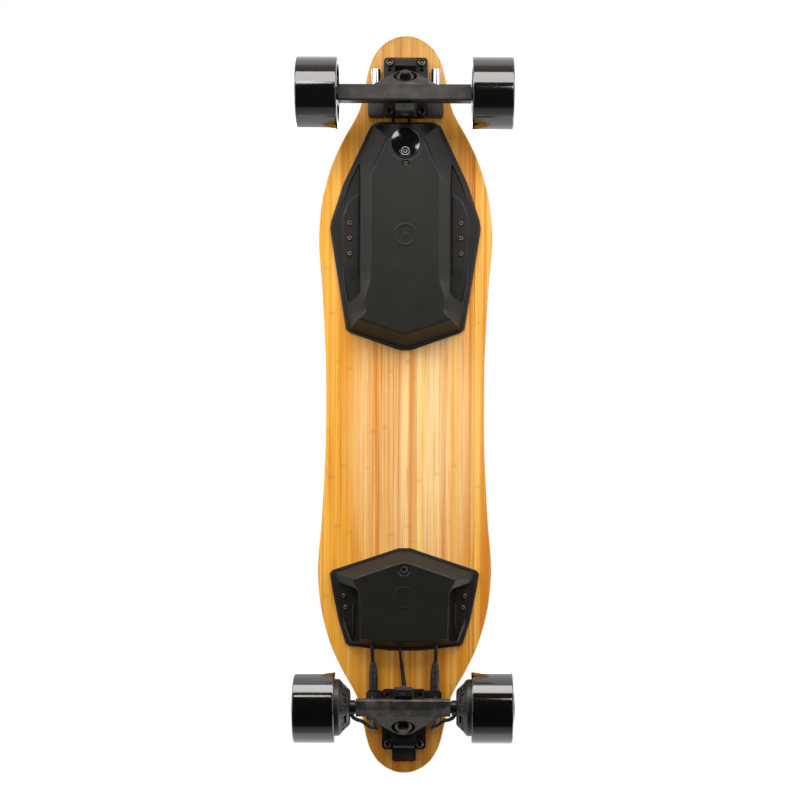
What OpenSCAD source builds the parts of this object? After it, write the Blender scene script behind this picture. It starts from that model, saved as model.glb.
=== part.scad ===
// Electric skateboard, wheels down, nose towards +X, axles along Y.
// Origin on the ground below the middle of the deck. Millimetres.

/* [Deck] */
// Length of the deck, nose to tail
deck_len = 965; // [940:1:990]
// Thickness of the bamboo laminate
deck_t = 12; // [11:0.5:13]
// Height of the deck's underside above the ground
deck_z = 115; // [115:1:118]
// How far the deck's long edges rise above its flat middle
concave = 3.5; // [2:0.5:5]
// Thickness of the grip tape
grip_t = 1; // [0.8:0.1:1.5]

/* [Trucks and wheels] */
// Distance from the middle of the deck to each axle
axle_x = 389; // [385:1:393]
// Wheel radius
wheel_r = 45; // [44:0.5:45]
// Wheel width
wheel_w = 52; // [50:1:54]
// Distance from the centre line to a front wheel's inner face
front_in = 85; // [84:1:88]
// Distance from the centre line to a rear wheel's inner face
rear_in = 86; // [85:1:88]
// Radius of the wheel axles
axle_r = 4; // [3.9:0.1:4]

/* [Enclosures] */
// Depth of the battery enclosure below the deck
batt_h = 32; // [30:1:34]
// Depth of the controller enclosure below the deck
esc_h = 27; // [26:1:30]
// Radius of the power panel
panel_r = 19; // [17:0.5:20]
// Radius of the power button
button_r = 6; // [5:0.5:7]
// Radius of the charging socket's bore
socket_r = 2.8; // [2.6:0.1:3]

/* [Hidden] */
$fn = 48;
// truck geometry, as (distance outward of the axle, height)
tc = 21;            // baseplate centre
bx = 18; bz = 76;   // centre of the bushing seat
px = -18.5; pz = 45.5; // centre of the pivot
steer = atan2(bz - pz, bx - px);
plate_z = deck_z - 12; // underside of the riser
axle_z = 45;

// half width of the deck at chosen distances from its middle
half = [[0, 103.7], [32, 103.8], [58, 104.2], [84, 105.3], [110, 106.6], [137, 108.1], [163, 109.9], [189, 112.3],
  [215, 113.8], [241, 112.6], [268, 109.3], [294, 103.1], [320, 94.5], [346, 82.2], [359, 74.9], [372, 67.4],
  [385, 61.1], [400, 57], [425, 51.9], [438, 48.8], [451, 44.5], [464, 36.7], [470, 31], [475, 24.6], [479, 17], [481.5, 9.5]];
hn = len(half);
k = deck_len / 965;
outline = concat([for (p = half) [p[0]*k, p[1]]], [[482.5*k, 0]], [for (i = [hn-1:-1:0]) [half[i][0]*k, -half[i][1]]],
  [for (i = [1:hn-1]) [-half[i][0]*k, -half[i][1]]], [[-482.5*k, 0]], [for (i = [hn-1:-1:1]) [-half[i][0]*k, half[i][1]]]);
flat_w = 56; cr = (58*58) / (2*concave);
// rise of the deck's faces at a distance y from the centre line
function rise(y) = abs(y) <= flat_w ? 0 : pow(abs(y) - flat_w, 2) / (2*cr);
ys = [-120, -108, -96, -84, -70, -56, 56, 70, 84, 96, 108, 120];

// the space between two copies of the deck's cross-section curve
module curved_slab(z0, z1) {
  rotate([90, 0, 90]) translate([0, 0, -500])
    linear_extrude(1000) polygon(concat([for (y = ys) [y, z0 + rise(y)]], [for (i = [len(ys)-1:-1:0]) [ys[i], z1 + rise(ys[i])]]));
}
module rrect(x, y, r, h) { linear_extrude(h) union() { square([x-2*r, y], center=true); square([x, y-2*r], center=true);
  for (a = [-1, 1], b = [-1, 1]) translate([a*(x/2-r), b*(y/2-r)]) circle(r, $fn=32); } }
// front truck as drawn, or the rear one mirrored
module truck(s) { mirror([s < 0 ? 1 : 0, 0, 0]) translate([axle_x, 0, 0]) children(); }
// local +Z along the kingpin, from the bushing seat's centre away from the deck
module kp() { translate([bx, 0, bz]) rotate([0, 135, 0]) children(); }
// local +Z along the steering axis, from the pivot towards the bushing seat
module sx() { translate([px, 0, pz]) rotate([0, 90-steer, 0]) children(); }
// side profile in (distance outward, height), extruded to a width
module prof(w, pts) { rotate([90, 0, 0]) translate([0, 0, -w/2]) linear_extrude(w) polygon(pts); }
// local +Z along the axle, away from the centre line
module side(s, y) { translate([0, s*y, axle_z]) rotate([s > 0 ? -90 : 90, 0, 0]) children(); }
module ring(ro, ri, h) { difference() { cylinder(r=ro, h=h); translate([0, 0, -1]) cylinder(r=ri, h=h+2); } }
bolts = [for (a = [-1, 1], b = [-1, 1]) [tc + a*31.75, b*20.65]];

// ---- deck ----
screw_f = [for (y = [-72.5, 72.5], x = [196, 216, 236]) [x, y]];
screw_r = [for (s = [-1, 1]) each [[-250.5, s*79], [-265.5, s*76.5]]];
module deck() color([0.86, 0.58, 0.25]) difference() {
  intersection() { translate([0, 0, 100]) linear_extrude(60) polygon(outline); curved_slab(deck_z, deck_z + deck_t); }
  for (s = [-1, 1]) truck(s) for (b = bolts) translate([b[0], b[1], 0]) {
    translate([0, 0, 100]) cylinder(r=2.6, h=50); translate([0, 0, deck_z+deck_t-3.2]) cylinder(r=5, h=10); }
  for (p = concat(screw_f, screw_r)) translate([p[0], p[1], 100]) cylinder(r=1.6, h=22);
}
module grip_tape() color([0.07, 0.07, 0.07]) difference() {
  intersection() { translate([0, 0, 100]) linear_extrude(60) polygon([for (p = outline) [p[0]*0.994, p[1]*0.975]]);
    curved_slab(deck_z+deck_t, deck_z+deck_t+grip_t); }
  for (s = [-1, 1]) truck(s) for (b = bolts) translate([b[0], b[1], 100]) cylinder(r=5, h=60);
}

// ---- battery enclosure ----
rim_f = [[368.7, 35], [364, 45.5], [288.6, 81], [240, 97], [230.4, 98.4], [222, 97.6], [98, 77.5], [93.5, 72], [73, 14], [70.5, 5]];
top_f = [[362, 24], [350, 29], [322, 42.5], [168, 43], [150, 50], [104, 52], [90, 8]];
function sym(p) = concat(p, [for (i = [len(p)-1:-1:0]) [p[i][0], -p[i][1]]]);
function inset(p, c, q) = [for (a = p) [c + (a[0]-c)*q, a[1]*q]];
bz0 = deck_z - 2;             // top of the flanges, under the gasket
module slab(p, z, h) { translate([0, 0, z]) linear_extrude(h) polygon(p); }
module hump(rim, top, z0, z1, c, q) { hull() { slab(inset(sym(rim), c, q), z0, 1); slab(inset(sym(top), c, q > 0.96 ? 1 : q), z1, 0.5); } }
module pocket_f(s) { mirror([0, s < 0 ? 1 : 0, 0]) slab([[300, 59.5], [312, 66], [288, 110], [200, 110], [130, 110], [108, 73], [128, 59.5]], 60, bz0-2.6-60); }
module battery_enclosure() color([0.17, 0.16, 0.155]) difference() {
  union() {
    slab(inset(sym(rim_f), 220, 0.985), bz0-2.6, 2.6);
    difference() { hump(rim_f, top_f, bz0-3, deck_z-batt_h, 220, 0.965); for (s = [-1, 1]) pocket_f(s); }
  }
  difference() { hump(rim_f, top_f, bz0, deck_z-batt_h+3, 220, 0.92);
    for (s = [-1, 1]) mirror([0, s < 0 ? 1 : 0, 0]) slab([[302, 56.8], [330, 70], [300, 120], [100, 120], [100, 60], [124, 56.8]], 60, bz0-60+2); }
  translate([335.5, 0, 60]) cylinder(r=panel_r+0.1, h=bz0-60-22);
  translate([308.3, 0, 60]) cylinder(r=3.6, h=30);
  for (p = screw_f) translate([p[0], p[1], 100]) cylinder(r=1.7, h=20);
}
module gasket(rim, c) { intersection() { difference() { slab(sym(rim), bz0, 10); slab(inset(sym(rim), c, 0.955), bz0-1, 12); } curved_slab(bz0-10, deck_z); } }
module enclosure_gaskets() color([0.05, 0.05, 0.05]) { gasket(rim_f, 220); gasket(rim_r, -252); }
cells = [for (j = [0:2], i = [0:5]) if (j == 1 || (i > 0 && i < 5)) [104 + j*66.5, -46.8 + i*18.72]];
module battery_cells() color([0.2, 0.45, 0.65]) {
  for (c = cells) translate([c[0], c[1], 102.6]) rotate([0, 90, 0]) cylinder(r=9.2, h=65);
  for (i = [0, 1]) translate([312.3 + i*18.8, 32.5, 102.6]) rotate([90, 0, 0]) cylinder(r=9.2, h=65);
}
module cell_holders() color([0.8, 0.8, 0.78]) for (x = [169.1, 235.6]) translate([x, -52.5, 95]) cube([1.3, 105, 15]);
module battery_management_board() color([0.1, 0.35, 0.2]) union() { translate([235, -30, 87.5]) cube([62, 60, 1.6]);
  for (i = [0:4]) translate([240 + i*11, -20, 89]) cube([7, 9, 2.2]); translate([240, 4, 89]) cube([40, 14, 2.6]); }
module screw(p, s) { translate([p[0], p[1], 0]) { translate([0, 0, bz0-4.6]) difference() { cylinder(r=s, h=2); translate([0, 0, -1]) cylinder(r=1.4, h=2.2, $fn=6); }
  translate([0, 0, bz0-2.7]) cylinder(r=1.5, h=11); } }
module enclosure_screws() color([0.3, 0.22, 0.18]) for (p = concat(screw_f, screw_r)) screw(p, 3);
module power_panel() color([0.02, 0.02, 0.02]) difference() {
  union() { translate([335.5, 0, deck_z-batt_h-1]) cylinder(r=panel_r, h=5); }
  translate([324.6, 0, 60]) cylinder(r=button_r+0.3, h=40);
}
module power_button() color([0.1, 0.1, 0.1]) translate([324.6, 0, deck_z-batt_h-1.4]) difference() { cylinder(r=button_r, h=4.6); translate([0, 0, -1]) ring(4.4, 3.4, 1.3); }
module battery_test_plug() color([0.12, 0.12, 0.12]) translate([308.3, 0, deck_z-batt_h+0.8]) difference() { cylinder(r=3.55, h=4); translate([-0.6, -3, -1]) cube([1.2, 6, 2]); }

// ---- controller enclosure ----
rim_r = [[-188.2, 8], [-193, 22], [-217, 94], [-221, 97.7], [-244.2, 93.9], [-282.2, 86], [-312, 77], [-316, 73], [-322, 20]];
top_r = [[-205.5, 5], [-225.5, 62], [-232, 66], [-309, 56], [-313, 50]];
module pocket_r(s) { mirror([0, s < 0 ? 1 : 0, 0]) slab([[-230, 89], [-243, 61], [-314, 60], [-318, 68], [-290, 120], [-230, 120]], 60, bz0-2.6-60); }
module controller_enclosure() color([0.15, 0.145, 0.14]) difference() {
  union() {
    slab(inset(sym(rim_r), -252, 0.985), bz0-2.6, 2.6);
    difference() { hump(rim_r, top_r, bz0-3, deck_z-esc_h, -252, 0.965); for (s = [-1, 1]) pocket_r(s); }
  }
  difference() { hump(rim_r, top_r, bz0, deck_z-esc_h+3, -252, 0.92);
    for (s = [-1, 1]) mirror([0, s < 0 ? 1 : 0, 0]) slab([[-227, 92], [-240, 58], [-330, 56], [-330, 120], [-227, 120]], 60, bz0-60+2); }
  translate([-216, 0, 60]) cylinder(r=6.1, h=40);
  for (p = screw_r) translate([p[0], p[1], 100]) cylinder(r=1.7, h=20);
  for (y = [-41, -6, 42]) translate([-330, y, 107]) rotate([0, 90, 0]) cylinder(r=3, h=25);
}
module controller_board() color([0.1, 0.3, 0.2]) union() { translate([-300, -48, 105]) cube([68, 96, 1.6]);
  for (i = [0:5]) translate([-292 + (i % 2)*22, -36 + floor(i/2)*30, 96]) cylinder(r=6, h=10); }
module controller_heatsink() color([0.7, 0.7, 0.72]) union() { translate([-300, -48, 106.7]) cube([68, 96, 2]); for (i = [0:9]) translate([-300, -46 + i*10, 108.6]) cube([68, 2, 3]); }
module charge_socket() color([0.3, 0.3, 0.3]) translate([-216, 0, deck_z-esc_h+1.2]) difference() {
  union() { cylinder(r=6, h=2); translate([0, 0, 1.9]) cylinder(r=4.5, h=11); translate([0, 0, -0.9]) cylinder(r=4.6, h=1, $fn=6); }
  translate([0, 0, -2]) cylinder(r=socket_r, h=12);
}

// ---- brackets and lights ----
module bracket(lights) { difference() {
  union() {
    translate([22.7, 0, plate_z]) rrect(75, 57, 4, 12);
    for (s = [-1, 1]) {
      translate([4, s*38, plate_z]) rrect(38, 22, 4, 12);
      for (i = [0:3]) translate([4, s*(32 + i*4.6), plate_z-0.8]) translate([-17, -0.9, 0]) cube([34, 1.8, 2]);
    }
  }
  for (b = bolts) translate([b[0], b[1], 90]) cylinder(r=2.6, h=40);
  translate([12, 0, plate_z-1]) rrect(36, 24, 4, 9);
  if (lights) for (s = [-1, 1]) translate([12, s*39.2, plate_z+5.8]) rotate([0, 90, 0]) cylinder(r=5.55, h=20);
  if (!lights) { for (s = [-1, 1]) translate([-20, s*40, plate_z+6]) rotate([0, 90, 0]) cylinder(r=4.6, h=16);
    translate([-20, 0, plate_z+6]) rotate([0, 90, 0]) cylinder(r=2.1, h=16);
  }
  if (lights) for (y = [-16.5, 4.5]) translate([-20, y, plate_z+6]) rotate([0, 90, 0]) cylinder(r=2.1, h=13);
} }
module front_light_bracket() color([0.1, 0.1, 0.1]) truck(1) bracket(true);
module rear_cable_bracket() color([0.1, 0.1, 0.1]) truck(-1) bracket(false);
module headlight_housings() color([0.9, 0.9, 0.92]) truck(1) for (s = [-1, 1]) translate([12.5, s*39.2, plate_z+5.8]) rotate([0, 90, 0]) difference() {
  union() { cylinder(r=5.5, h=11); translate([0, 0, 10.9]) cylinder(r=6, h=23.6); }
  translate([0, 0, 30]) cylinder(r=4.9, h=10); }
module headlight_lenses() color([0.9, 0.95, 1, 0.5]) truck(1) for (s = [-1, 1]) translate([12.5, s*39.2, plate_z+5.8]) rotate([0, 90, 0]) translate([0, 0, 30]) union() { cylinder(r=4.85, h=2.5); }
module tail_light_housing() color([0.06, 0.06, 0.06]) translate([-457.6, 0, 105]) difference() { rrect(15, 31, 2, 10); translate([-10, -13, 1.5]) cube([5.5, 26, 7]); }
module tail_light_lens() color([0.5, 0.02, 0.03]) translate([-464.8, -12.9, 106.6]) cube([2.5, 25.8, 6.8]);

// ---- cables held by the board: tubes swept along hand-chosen points ----
function nrm(v) = v / norm(v);
function tan_at(p, i) = nrm(p[min(i+1, len(p)-1)] - p[max(i-1, 0)]);
function smooth(p, t) = let(n = len(p)-1, i = min(floor(t), n-1), f = t - i, a = p[max(i-1, 0)], b = p[i], c = p[i+1], d = p[min(i+2, n)])
  0.5*(2*b + (c-a)*f + (2*a-5*b+4*c-d)*f*f + (3*b-a-3*c+d)*f*f*f);
module sweep(pts, r, per=3, m=8) {
  n = (len(pts)-1)*per;
  q = [for (i = [0:n]) smooth(pts, i/per)];
  v = [for (i = [0:n]) let(t = tan_at(q, i), u = nrm(cross(t, abs(t[2]) > 0.8 ? [1, 0, 0] : [0, 0, 1])), w = cross(u, t)) for (j = [0:m-1]) q[i] + r*(cos(360*j/m)*u + sin(360*j/m)*w)];
  polyhedron(v, concat([[for (j = [m-1:-1:0]) j]], [[for (j = [0:m-1]) n*m + j]],
    [for (i = [0:n-1], j = [0:m-1]) [i*m+j, i*m+(j+1)%m, (i+1)*m+(j+1)%m]], [for (i = [0:n-1], j = [0:m-1]) [i*m+j, (i+1)*m+(j+1)%m, (i+1)*m+j]]));
}
module headlight_cables() color([0.05, 0.05, 0.05]) {
  for (y = [-16.5, 4.5]) sweep([[381.5, y, 109], [377.5, y, 109], [373.8, y, 109.2], [371.3, y, 111.4], [369.8, y, 113]], 1.5);
}
module tail_light_cable() color([0.05, 0.05, 0.05]) sweep([[-306, -6, 107], [-326, -5, 108], [-350, -2, 111], [-366, 0, 109.5], [-376, 0, 109]], 1.9, 3);
module left_motor_cable() color([0.04, 0.04, 0.04]) sweep([[-382, 40, 101], [-383.5, 41.5, 96.5], [-397, 47, 84], [-411, 42, 74], [-417, 38, 64], [-414, 43, 55], [-406.5, 52, 48.5], [-404.4, 58.5, 45.5], [-401.4, 63.4, 44.8]], 2.4);
module right_motor_cable() color([0.04, 0.04, 0.04]) sweep([[-382, -40, 101], [-383.5, -41, 96.5], [-399, -44, 84], [-414, -39, 74], [-419, -36, 64], [-416, -42, 55], [-407.5, -51.5, 48.5], [-404.6, -58.5, 45.5], [-401.4, -63.4, 44.8]], 2.4);
module motor_cable_plugs() color([0.06, 0.06, 0.06]) for (s = [-1, 1]) {
  translate([-373, s*40, 109]) rotate([0, 90, 0]) cylinder(r=4.5, h=22);
  translate([-373, s*40, 109]) rotate([0, 90, 0]) translate([0, 0, 21.9]) cylinder(r1=4.5, r2=2.6, h=14);
  sweep([[-339, s*40, 109], [-330, s*41, 108.5], [-320, s*41.5, 107.2], [-306, s*41.5, 107]], 2.3);
}

// ---- trucks ----
module baseplate() { difference() {
  union() {
    translate([tc, 0, plate_z-6]) rrect(78, 57, 5, 6);
    intersection() { kp() translate([0, 0, -40]) cylinder(r=17.2, h=26); translate([-17, -30, 60]) cube([75, 60, plate_z-60]); }
    prof(24, [[-13, plate_z-5], [44, plate_z-5], [44, plate_z-8], [20, plate_z-9], [-4, plate_z-22], [-13, plate_z-30]]);
    prof(27, [[40, plate_z-5], [58, plate_z-5], [58, plate_z-10], [54, plate_z-18], [46, plate_z-19], [42, plate_z-12]]);
    prof(23.4, [[-13.3, plate_z-4], [-13.3, 39], [-15, 37], [-23, 37], [-25, 39.5], [-25, 52], [-18, plate_z-4]]);
    for (s = [-1, 1]) translate([0, s*9, 0]) prof(4, [[-16, plate_z-4], [-14, plate_z-24], [4, plate_z-14], [30, plate_z-4]]);
  }
  kp() translate([0, 0, -17.9]) cylinder(r=14.6, h=30);
  kp() translate([0, 0, -13.9]) cylinder(r=24, h=50);
  kp() translate([0, 0, -50]) cylinder(r=4.9, h=60);
  kp() translate([0, 0, -60]) cylinder(r=9, h=37);
  sx() translate([0, 0, -5.6]) cylinder(r=7.6, h=40);
  for (b = bolts) translate([b[0], b[1], 60]) cylinder(r=2.7, h=60);
  for (s = [-1, 1]) translate([tc+22.2, s*20.65, 60]) cylinder(r=2.7, h=60);
} }
module front_baseplate() color([0.1, 0.1, 0.1]) truck(1) baseplate();
module rear_baseplate() color([0.1, 0.1, 0.1]) truck(-1) baseplate();
module pivot_cups() color([0.15, 0.15, 0.15]) for (s = [-1, 1]) truck(s) intersection() {
  sx() difference() { translate([0, 0, -5.5]) cylinder(r=7.5, h=12); cylinder(r=5.1, h=20); sphere(r=5.1); }
  translate([-40, -20, 20]) cube([26.5, 40, 60]); }
module kingpins() color([0.5, 0.5, 0.52]) for (s = [-1, 1]) truck(s) kp() union() { translate([0, 0, -23.1]) cylinder(r=4.75, h=43.6); translate([0, 0, -28]) cylinder(r=7.6, h=5, $fn=6); }
module kingpin_nuts() color([0.45, 0.42, 0.4]) for (s = [-1, 1]) truck(s) kp() translate([0, 0, 13.2]) difference() { union() { cylinder(r=8, h=4.6, $fn=6); cylinder(r=6.4, h=6.2); } translate([0, 0, -1]) cylinder(r=4.8, h=9); }
module cup_washers() color([0.5, 0.48, 0.46]) for (s = [-1, 1]) truck(s) kp() translate([0, 0, 11.6]) ring(11, 4.85, 1.5);
module bushings() { kp() translate([0, 0, -17.8]) difference() { union() { cylinder(r=14.2, h=8); translate([0, 0, 7.9]) cylinder(r1=14.2, r2=13.4, h=5.5); } translate([0, 0, -1]) cylinder(r=4.9, h=20); }
  kp() translate([0, 0, 4.3]) difference() { cylinder(r1=13, r2=10.5, h=7.2); translate([0, 0, -1]) cylinder(r=4.9, h=20); } }
module front_bushings() color([0.08, 0.08, 0.08]) truck(1) bushings();
module rear_bushings() color([0.08, 0.08, 0.08]) truck(-1) bushings();
module truck_bolts() color([0.6, 0.5, 0.45]) for (s = [-1, 1]) truck(s) for (b = bolts) translate([b[0], b[1], 0]) difference() {
  union() { translate([0, 0, plate_z-12.5]) cylinder(r=2.45, h=deck_z+deck_t-plate_z+11); translate([0, 0, deck_z+deck_t-3.1]) cylinder(r=4.8, h=3.6); }
  translate([0, 0, deck_z+deck_t-1.6]) cylinder(r=1.8, h=5, $fn=6); }
module truck_bolt_nuts() color([0.6, 0.5, 0.45]) for (s = [-1, 1]) truck(s) for (b = bolts) translate([b[0], b[1], plate_z-11.1]) difference() { union() { cylinder(r=4.6, h=5, $fn=6); } translate([0, 0, -1]) cylinder(r=2.5, h=8); }
module hanger(w, deep) { difference() {
  union() {
    prof(2*w, [[-10.5, 38], [-8.5, 36], [2.6, 36], [11.5, 43.5], [11.5, 53], [9, 55], [-8.5, 55], [-10.5, 53]]);
    hull() { kp() translate([0, 0, -5]) cylinder(r=19, h=16.5, $fn=32); prof(deep, [[-2, 38.5], [2, 37.5], [10.7, 44.3], [10.7, 52.4], [-4, 53.7]]); }
    sx() rotate_extrude() polygon(concat([[0, -5]], [for (a = [-75:15:50]) [5*cos(a), 5*sin(a)]], [[3.9, 5], [3.9, 20], [0, 20]]));
  }
  kp() translate([0, 0, 4]) cylinder(r=15.3, h=60);
  kp() translate([0, 0, -60]) cylinder(r=9, h=120);
  kp() translate([0, 0, -44]) cylinder(r=26, h=40);
  for (s = [-1, 1]) side(s, 0) cylinder(r=axle_r+0.02, h=200);
} }
module front_hanger() color([0.12, 0.115, 0.11]) truck(1) difference() { union() { hanger(front_in-1, 84);
    for (s = [-1, 1]) side(s, front_in-3) cylinder(r=8, h=15.4); }
  for (s = [-1, 1]) side(s, 0) cylinder(r=axle_r+0.02, h=200); }
module front_axle() color([0.7, 0.7, 0.72]) truck(1) side(1, -133) cylinder(r=axle_r, h=266);
module front_axle_nuts() color([0.7, 0.7, 0.72]) truck(1) for (s = [-1, 1]) side(s, 123.6) difference() { union() { cylinder(r=7.2, h=5, $fn=6); cylinder(r=5.6, h=7); } translate([0, 0, -1]) cylinder(r=axle_r+0.05, h=12); }
module front_axle_spacers() color([0.75, 0.75, 0.76]) truck(1) for (s = [-1, 1]) { side(s, 97.5) ring(6, axle_r+0.05, 0.9); side(s, 105.7) ring(5.6, axle_r+0.05, 9.6); side(s, 122.6) ring(6, axle_r+0.05, 0.9); }
module rear_hanger() color([0.12, 0.115, 0.11]) truck(-1) difference() { hanger(60, 98); for (s = [-1, 1]) side(s, 44) cylinder(r=7.55, h=40); }
module motor_axles() color([0.62, 0.62, 0.64]) truck(-1) for (s = [-1, 1]) union() { side(s, 44.2) cylinder(r=7.5, h=17); side(s, 61) cylinder(r=9.2, h=6.2); side(s, 67.1) cylinder(r=7, h=58.4); side(s, 125.4) cylinder(r=4, h=9); }

// ---- front wheels ----
ox = axle_x;
module place(e, s, y) { translate([e*axle_x, 0, 0]) side(s, y) children(); }
module tyre_f(s) place(1, s, front_in) rotate_extrude($fn=96) polygon([[24, 12], [34, 4.5], [37.5, 0], [41.5, 0], [wheel_r-1, 1], [wheel_r, 3.5], [wheel_r, wheel_w-3.5], [wheel_r-1, wheel_w-1], [41.5, wheel_w], [37.5, wheel_w], [34, wheel_w-4.5], [24, wheel_w-14]]);
module core_f(s) place(1, s, front_in) rotate_extrude($fn=64) polygon([[11.05, 12.5], [13, 12], [24, 12], [24, wheel_w-14], [13, wheel_w-14], [11.05, wheel_w-14.4], [11.05, 30.6], [9.2, 30.6], [9.2, 20.4], [11.05, 20.4]]);
module bearing(r, ri, h) { difference() { cylinder(r=r, h=h); translate([0, 0, -1]) cylinder(r=ri, h=h+2); translate([0, 0, -1]) ring(r-1.8, ri+1.8, 1.4); translate([0, 0, h-0.4]) ring(r-1.8, ri+1.8, 2); } }
module bearings_f(s) place(1, s, front_in) for (z = [13.6, 30.6]) translate([0, 0, z]) bearing(11, axle_r+0.05, 6.8);
module front_left_tyre() color([0.03, 0.03, 0.03]) tyre_f(1);
module front_right_tyre() color([0.03, 0.03, 0.03]) tyre_f(-1);
module front_left_wheel_core() color([0.1, 0.1, 0.1]) core_f(1);
module front_right_wheel_core() color([0.1, 0.1, 0.1]) core_f(-1);
module front_left_bearings() color([0.6, 0.6, 0.62]) bearings_f(1);
module front_right_bearings() color([0.6, 0.6, 0.62]) bearings_f(-1);

// ---- rear hub motors ----
module tyre_r(s) place(-1, s, rear_in) rotate_extrude($fn=96) polygon([[36.05, 0], [42, 0], [wheel_r-1, 1], [wheel_r, 3.5], [wheel_r, wheel_w-3.5], [wheel_r-1, wheel_w-1], [42, wheel_w], [36.05, wheel_w]]);
module housing_r(s) place(-1, s, rear_in) difference() {
  rotate_extrude($fn=72) polygon([[11.1, -18.4], [22, -18.6], [35.6, -5], [36, -3], [36, 50], [33.5, 50], [33.5, 6], [31.5, 2], [20, -8], [12.5, -8], [12.5, -10], [8, -10], [8, -11], [11.1, -11]]);
  for (i = [0:5]) rotate([0, 0, i*60]) translate([27, -4.5, -12]) rotate([0, 45, 0]) cube([6, 9, 3], center=false);
}
module magnets_r(s) place(-1, s, rear_in+12) ring(33.4, 30.6, 30);
module cover_r(s) place(-1, s, rear_in) difference() {
  rotate_extrude($fn=72) polygon([[0, 50.5], [0, 55], [14, 54.6], [26, 53], [33, 50.8], [36, 50.1], [33.4, 50], [33.4, 47], [12, 47], [12, 40.5], [9.55, 40.5], [9.55, 50.5]]);
  for (i = [0:5]) rotate([0, 0, i*60]) translate([29.5, 0, 50]) cylinder(r=1.6, h=10);
}
module bearings_r(s) place(-1, s, rear_in) { translate([0, 0, -17.6]) bearing(11, 7.05, 6.4); translate([0, 0, 40.2]) bearing(9.5, 4.05, 6.6); }
module motor_stators() color([0.45, 0.45, 0.47]) for (s = [-1, 1]) place(-1, s, rear_in+14) difference() {
  union() { ring(12, 7, 26); translate([0, 0, 0]) cylinder(r=14, h=26); for (i = [0:8]) rotate([0, 0, i*40]) { translate([12, -2.5, 0]) cube([15, 5, 26]); translate([26, -8, 0]) cube([3.2, 16, 26]); } }
  translate([0, 0, -1]) cylinder(r=7.02, h=40); }
module motor_windings() color([0.75, 0.4, 0.2]) for (s = [-1, 1]) place(-1, s, rear_in+12) for (i = [0:8]) rotate([0, 0, i*40]) translate([15.5, 0, 0]) difference() { translate([0, -5.2, 0]) cube([10, 10.4, 30]); translate([-1, -2.55, 1.9]) cube([12, 5.1, 26.2]); }
module rear_left_tyre() color([0.03, 0.03, 0.03]) tyre_r(1);
module rear_right_tyre() color([0.03, 0.03, 0.03]) tyre_r(-1);
module rear_left_motor_housing() color([0.08, 0.08, 0.08]) housing_r(1);
module rear_right_motor_housing() color([0.08, 0.08, 0.08]) housing_r(-1);
module rear_left_magnet_ring() color([0.5, 0.5, 0.52]) magnets_r(1);
module rear_right_magnet_ring() color([0.5, 0.5, 0.52]) magnets_r(-1);
module rear_left_motor_cover() color([0.3, 0.3, 0.3]) cover_r(1);
module rear_right_motor_cover() color([0.3, 0.3, 0.3]) cover_r(-1);
module rear_left_motor_bearings() color([0.6, 0.6, 0.62]) bearings_r(1);
module rear_right_motor_bearings() color([0.6, 0.6, 0.62]) bearings_r(-1);

deck();
grip_tape();
battery_enclosure();
enclosure_gaskets();
battery_cells();
cell_holders();
battery_management_board();
enclosure_screws();
power_panel();
power_button();
battery_test_plug();
controller_enclosure();
controller_board();
controller_heatsink();
charge_socket();
front_light_bracket();
rear_cable_bracket();
headlight_housings();
headlight_lenses();
headlight_cables();
tail_light_housing();
tail_light_lens();
tail_light_cable();
front_baseplate();
rear_baseplate();
pivot_cups();
kingpins();
kingpin_nuts();
cup_washers();
truck_bolts();
truck_bolt_nuts();
front_bushings();
rear_bushings();
motor_cable_plugs();
left_motor_cable();
right_motor_cable();
front_hanger();
front_axle();
front_axle_nuts();
front_axle_spacers();
rear_hanger();
motor_axles();
motor_stators();
motor_windings();
front_left_tyre();
front_left_wheel_core();
front_left_bearings();
front_right_tyre();
front_right_wheel_core();
front_right_bearings();
rear_left_tyre();
rear_left_motor_housing();
rear_left_magnet_ring();
rear_left_motor_cover();
rear_left_motor_bearings();
rear_right_tyre();
rear_right_motor_housing();
rear_right_magnet_ring();
rear_right_motor_cover();
rear_right_motor_bearings();
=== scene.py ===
import bpy, bmesh, math
import numpy as np
from mathutils import Vector, Matrix


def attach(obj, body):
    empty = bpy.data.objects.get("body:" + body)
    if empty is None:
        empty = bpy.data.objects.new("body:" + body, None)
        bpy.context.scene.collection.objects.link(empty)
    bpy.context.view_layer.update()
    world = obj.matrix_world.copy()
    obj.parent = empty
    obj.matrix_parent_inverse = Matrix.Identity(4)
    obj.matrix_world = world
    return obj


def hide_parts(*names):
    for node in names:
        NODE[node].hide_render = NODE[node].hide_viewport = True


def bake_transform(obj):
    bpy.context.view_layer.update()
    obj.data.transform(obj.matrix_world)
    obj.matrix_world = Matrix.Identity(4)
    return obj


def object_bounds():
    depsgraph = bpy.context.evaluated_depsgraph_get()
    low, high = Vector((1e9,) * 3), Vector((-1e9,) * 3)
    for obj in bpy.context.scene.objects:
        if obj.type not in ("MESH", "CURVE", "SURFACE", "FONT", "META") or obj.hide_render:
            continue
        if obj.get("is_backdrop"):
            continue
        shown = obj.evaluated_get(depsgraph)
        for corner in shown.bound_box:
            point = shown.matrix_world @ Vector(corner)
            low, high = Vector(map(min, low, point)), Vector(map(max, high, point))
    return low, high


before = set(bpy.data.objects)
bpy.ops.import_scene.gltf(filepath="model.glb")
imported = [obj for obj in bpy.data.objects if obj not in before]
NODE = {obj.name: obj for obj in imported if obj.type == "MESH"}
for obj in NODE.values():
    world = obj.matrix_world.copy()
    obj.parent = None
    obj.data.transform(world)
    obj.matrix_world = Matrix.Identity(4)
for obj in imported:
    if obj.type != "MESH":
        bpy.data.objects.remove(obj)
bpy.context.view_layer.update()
MM = 0.001

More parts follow.
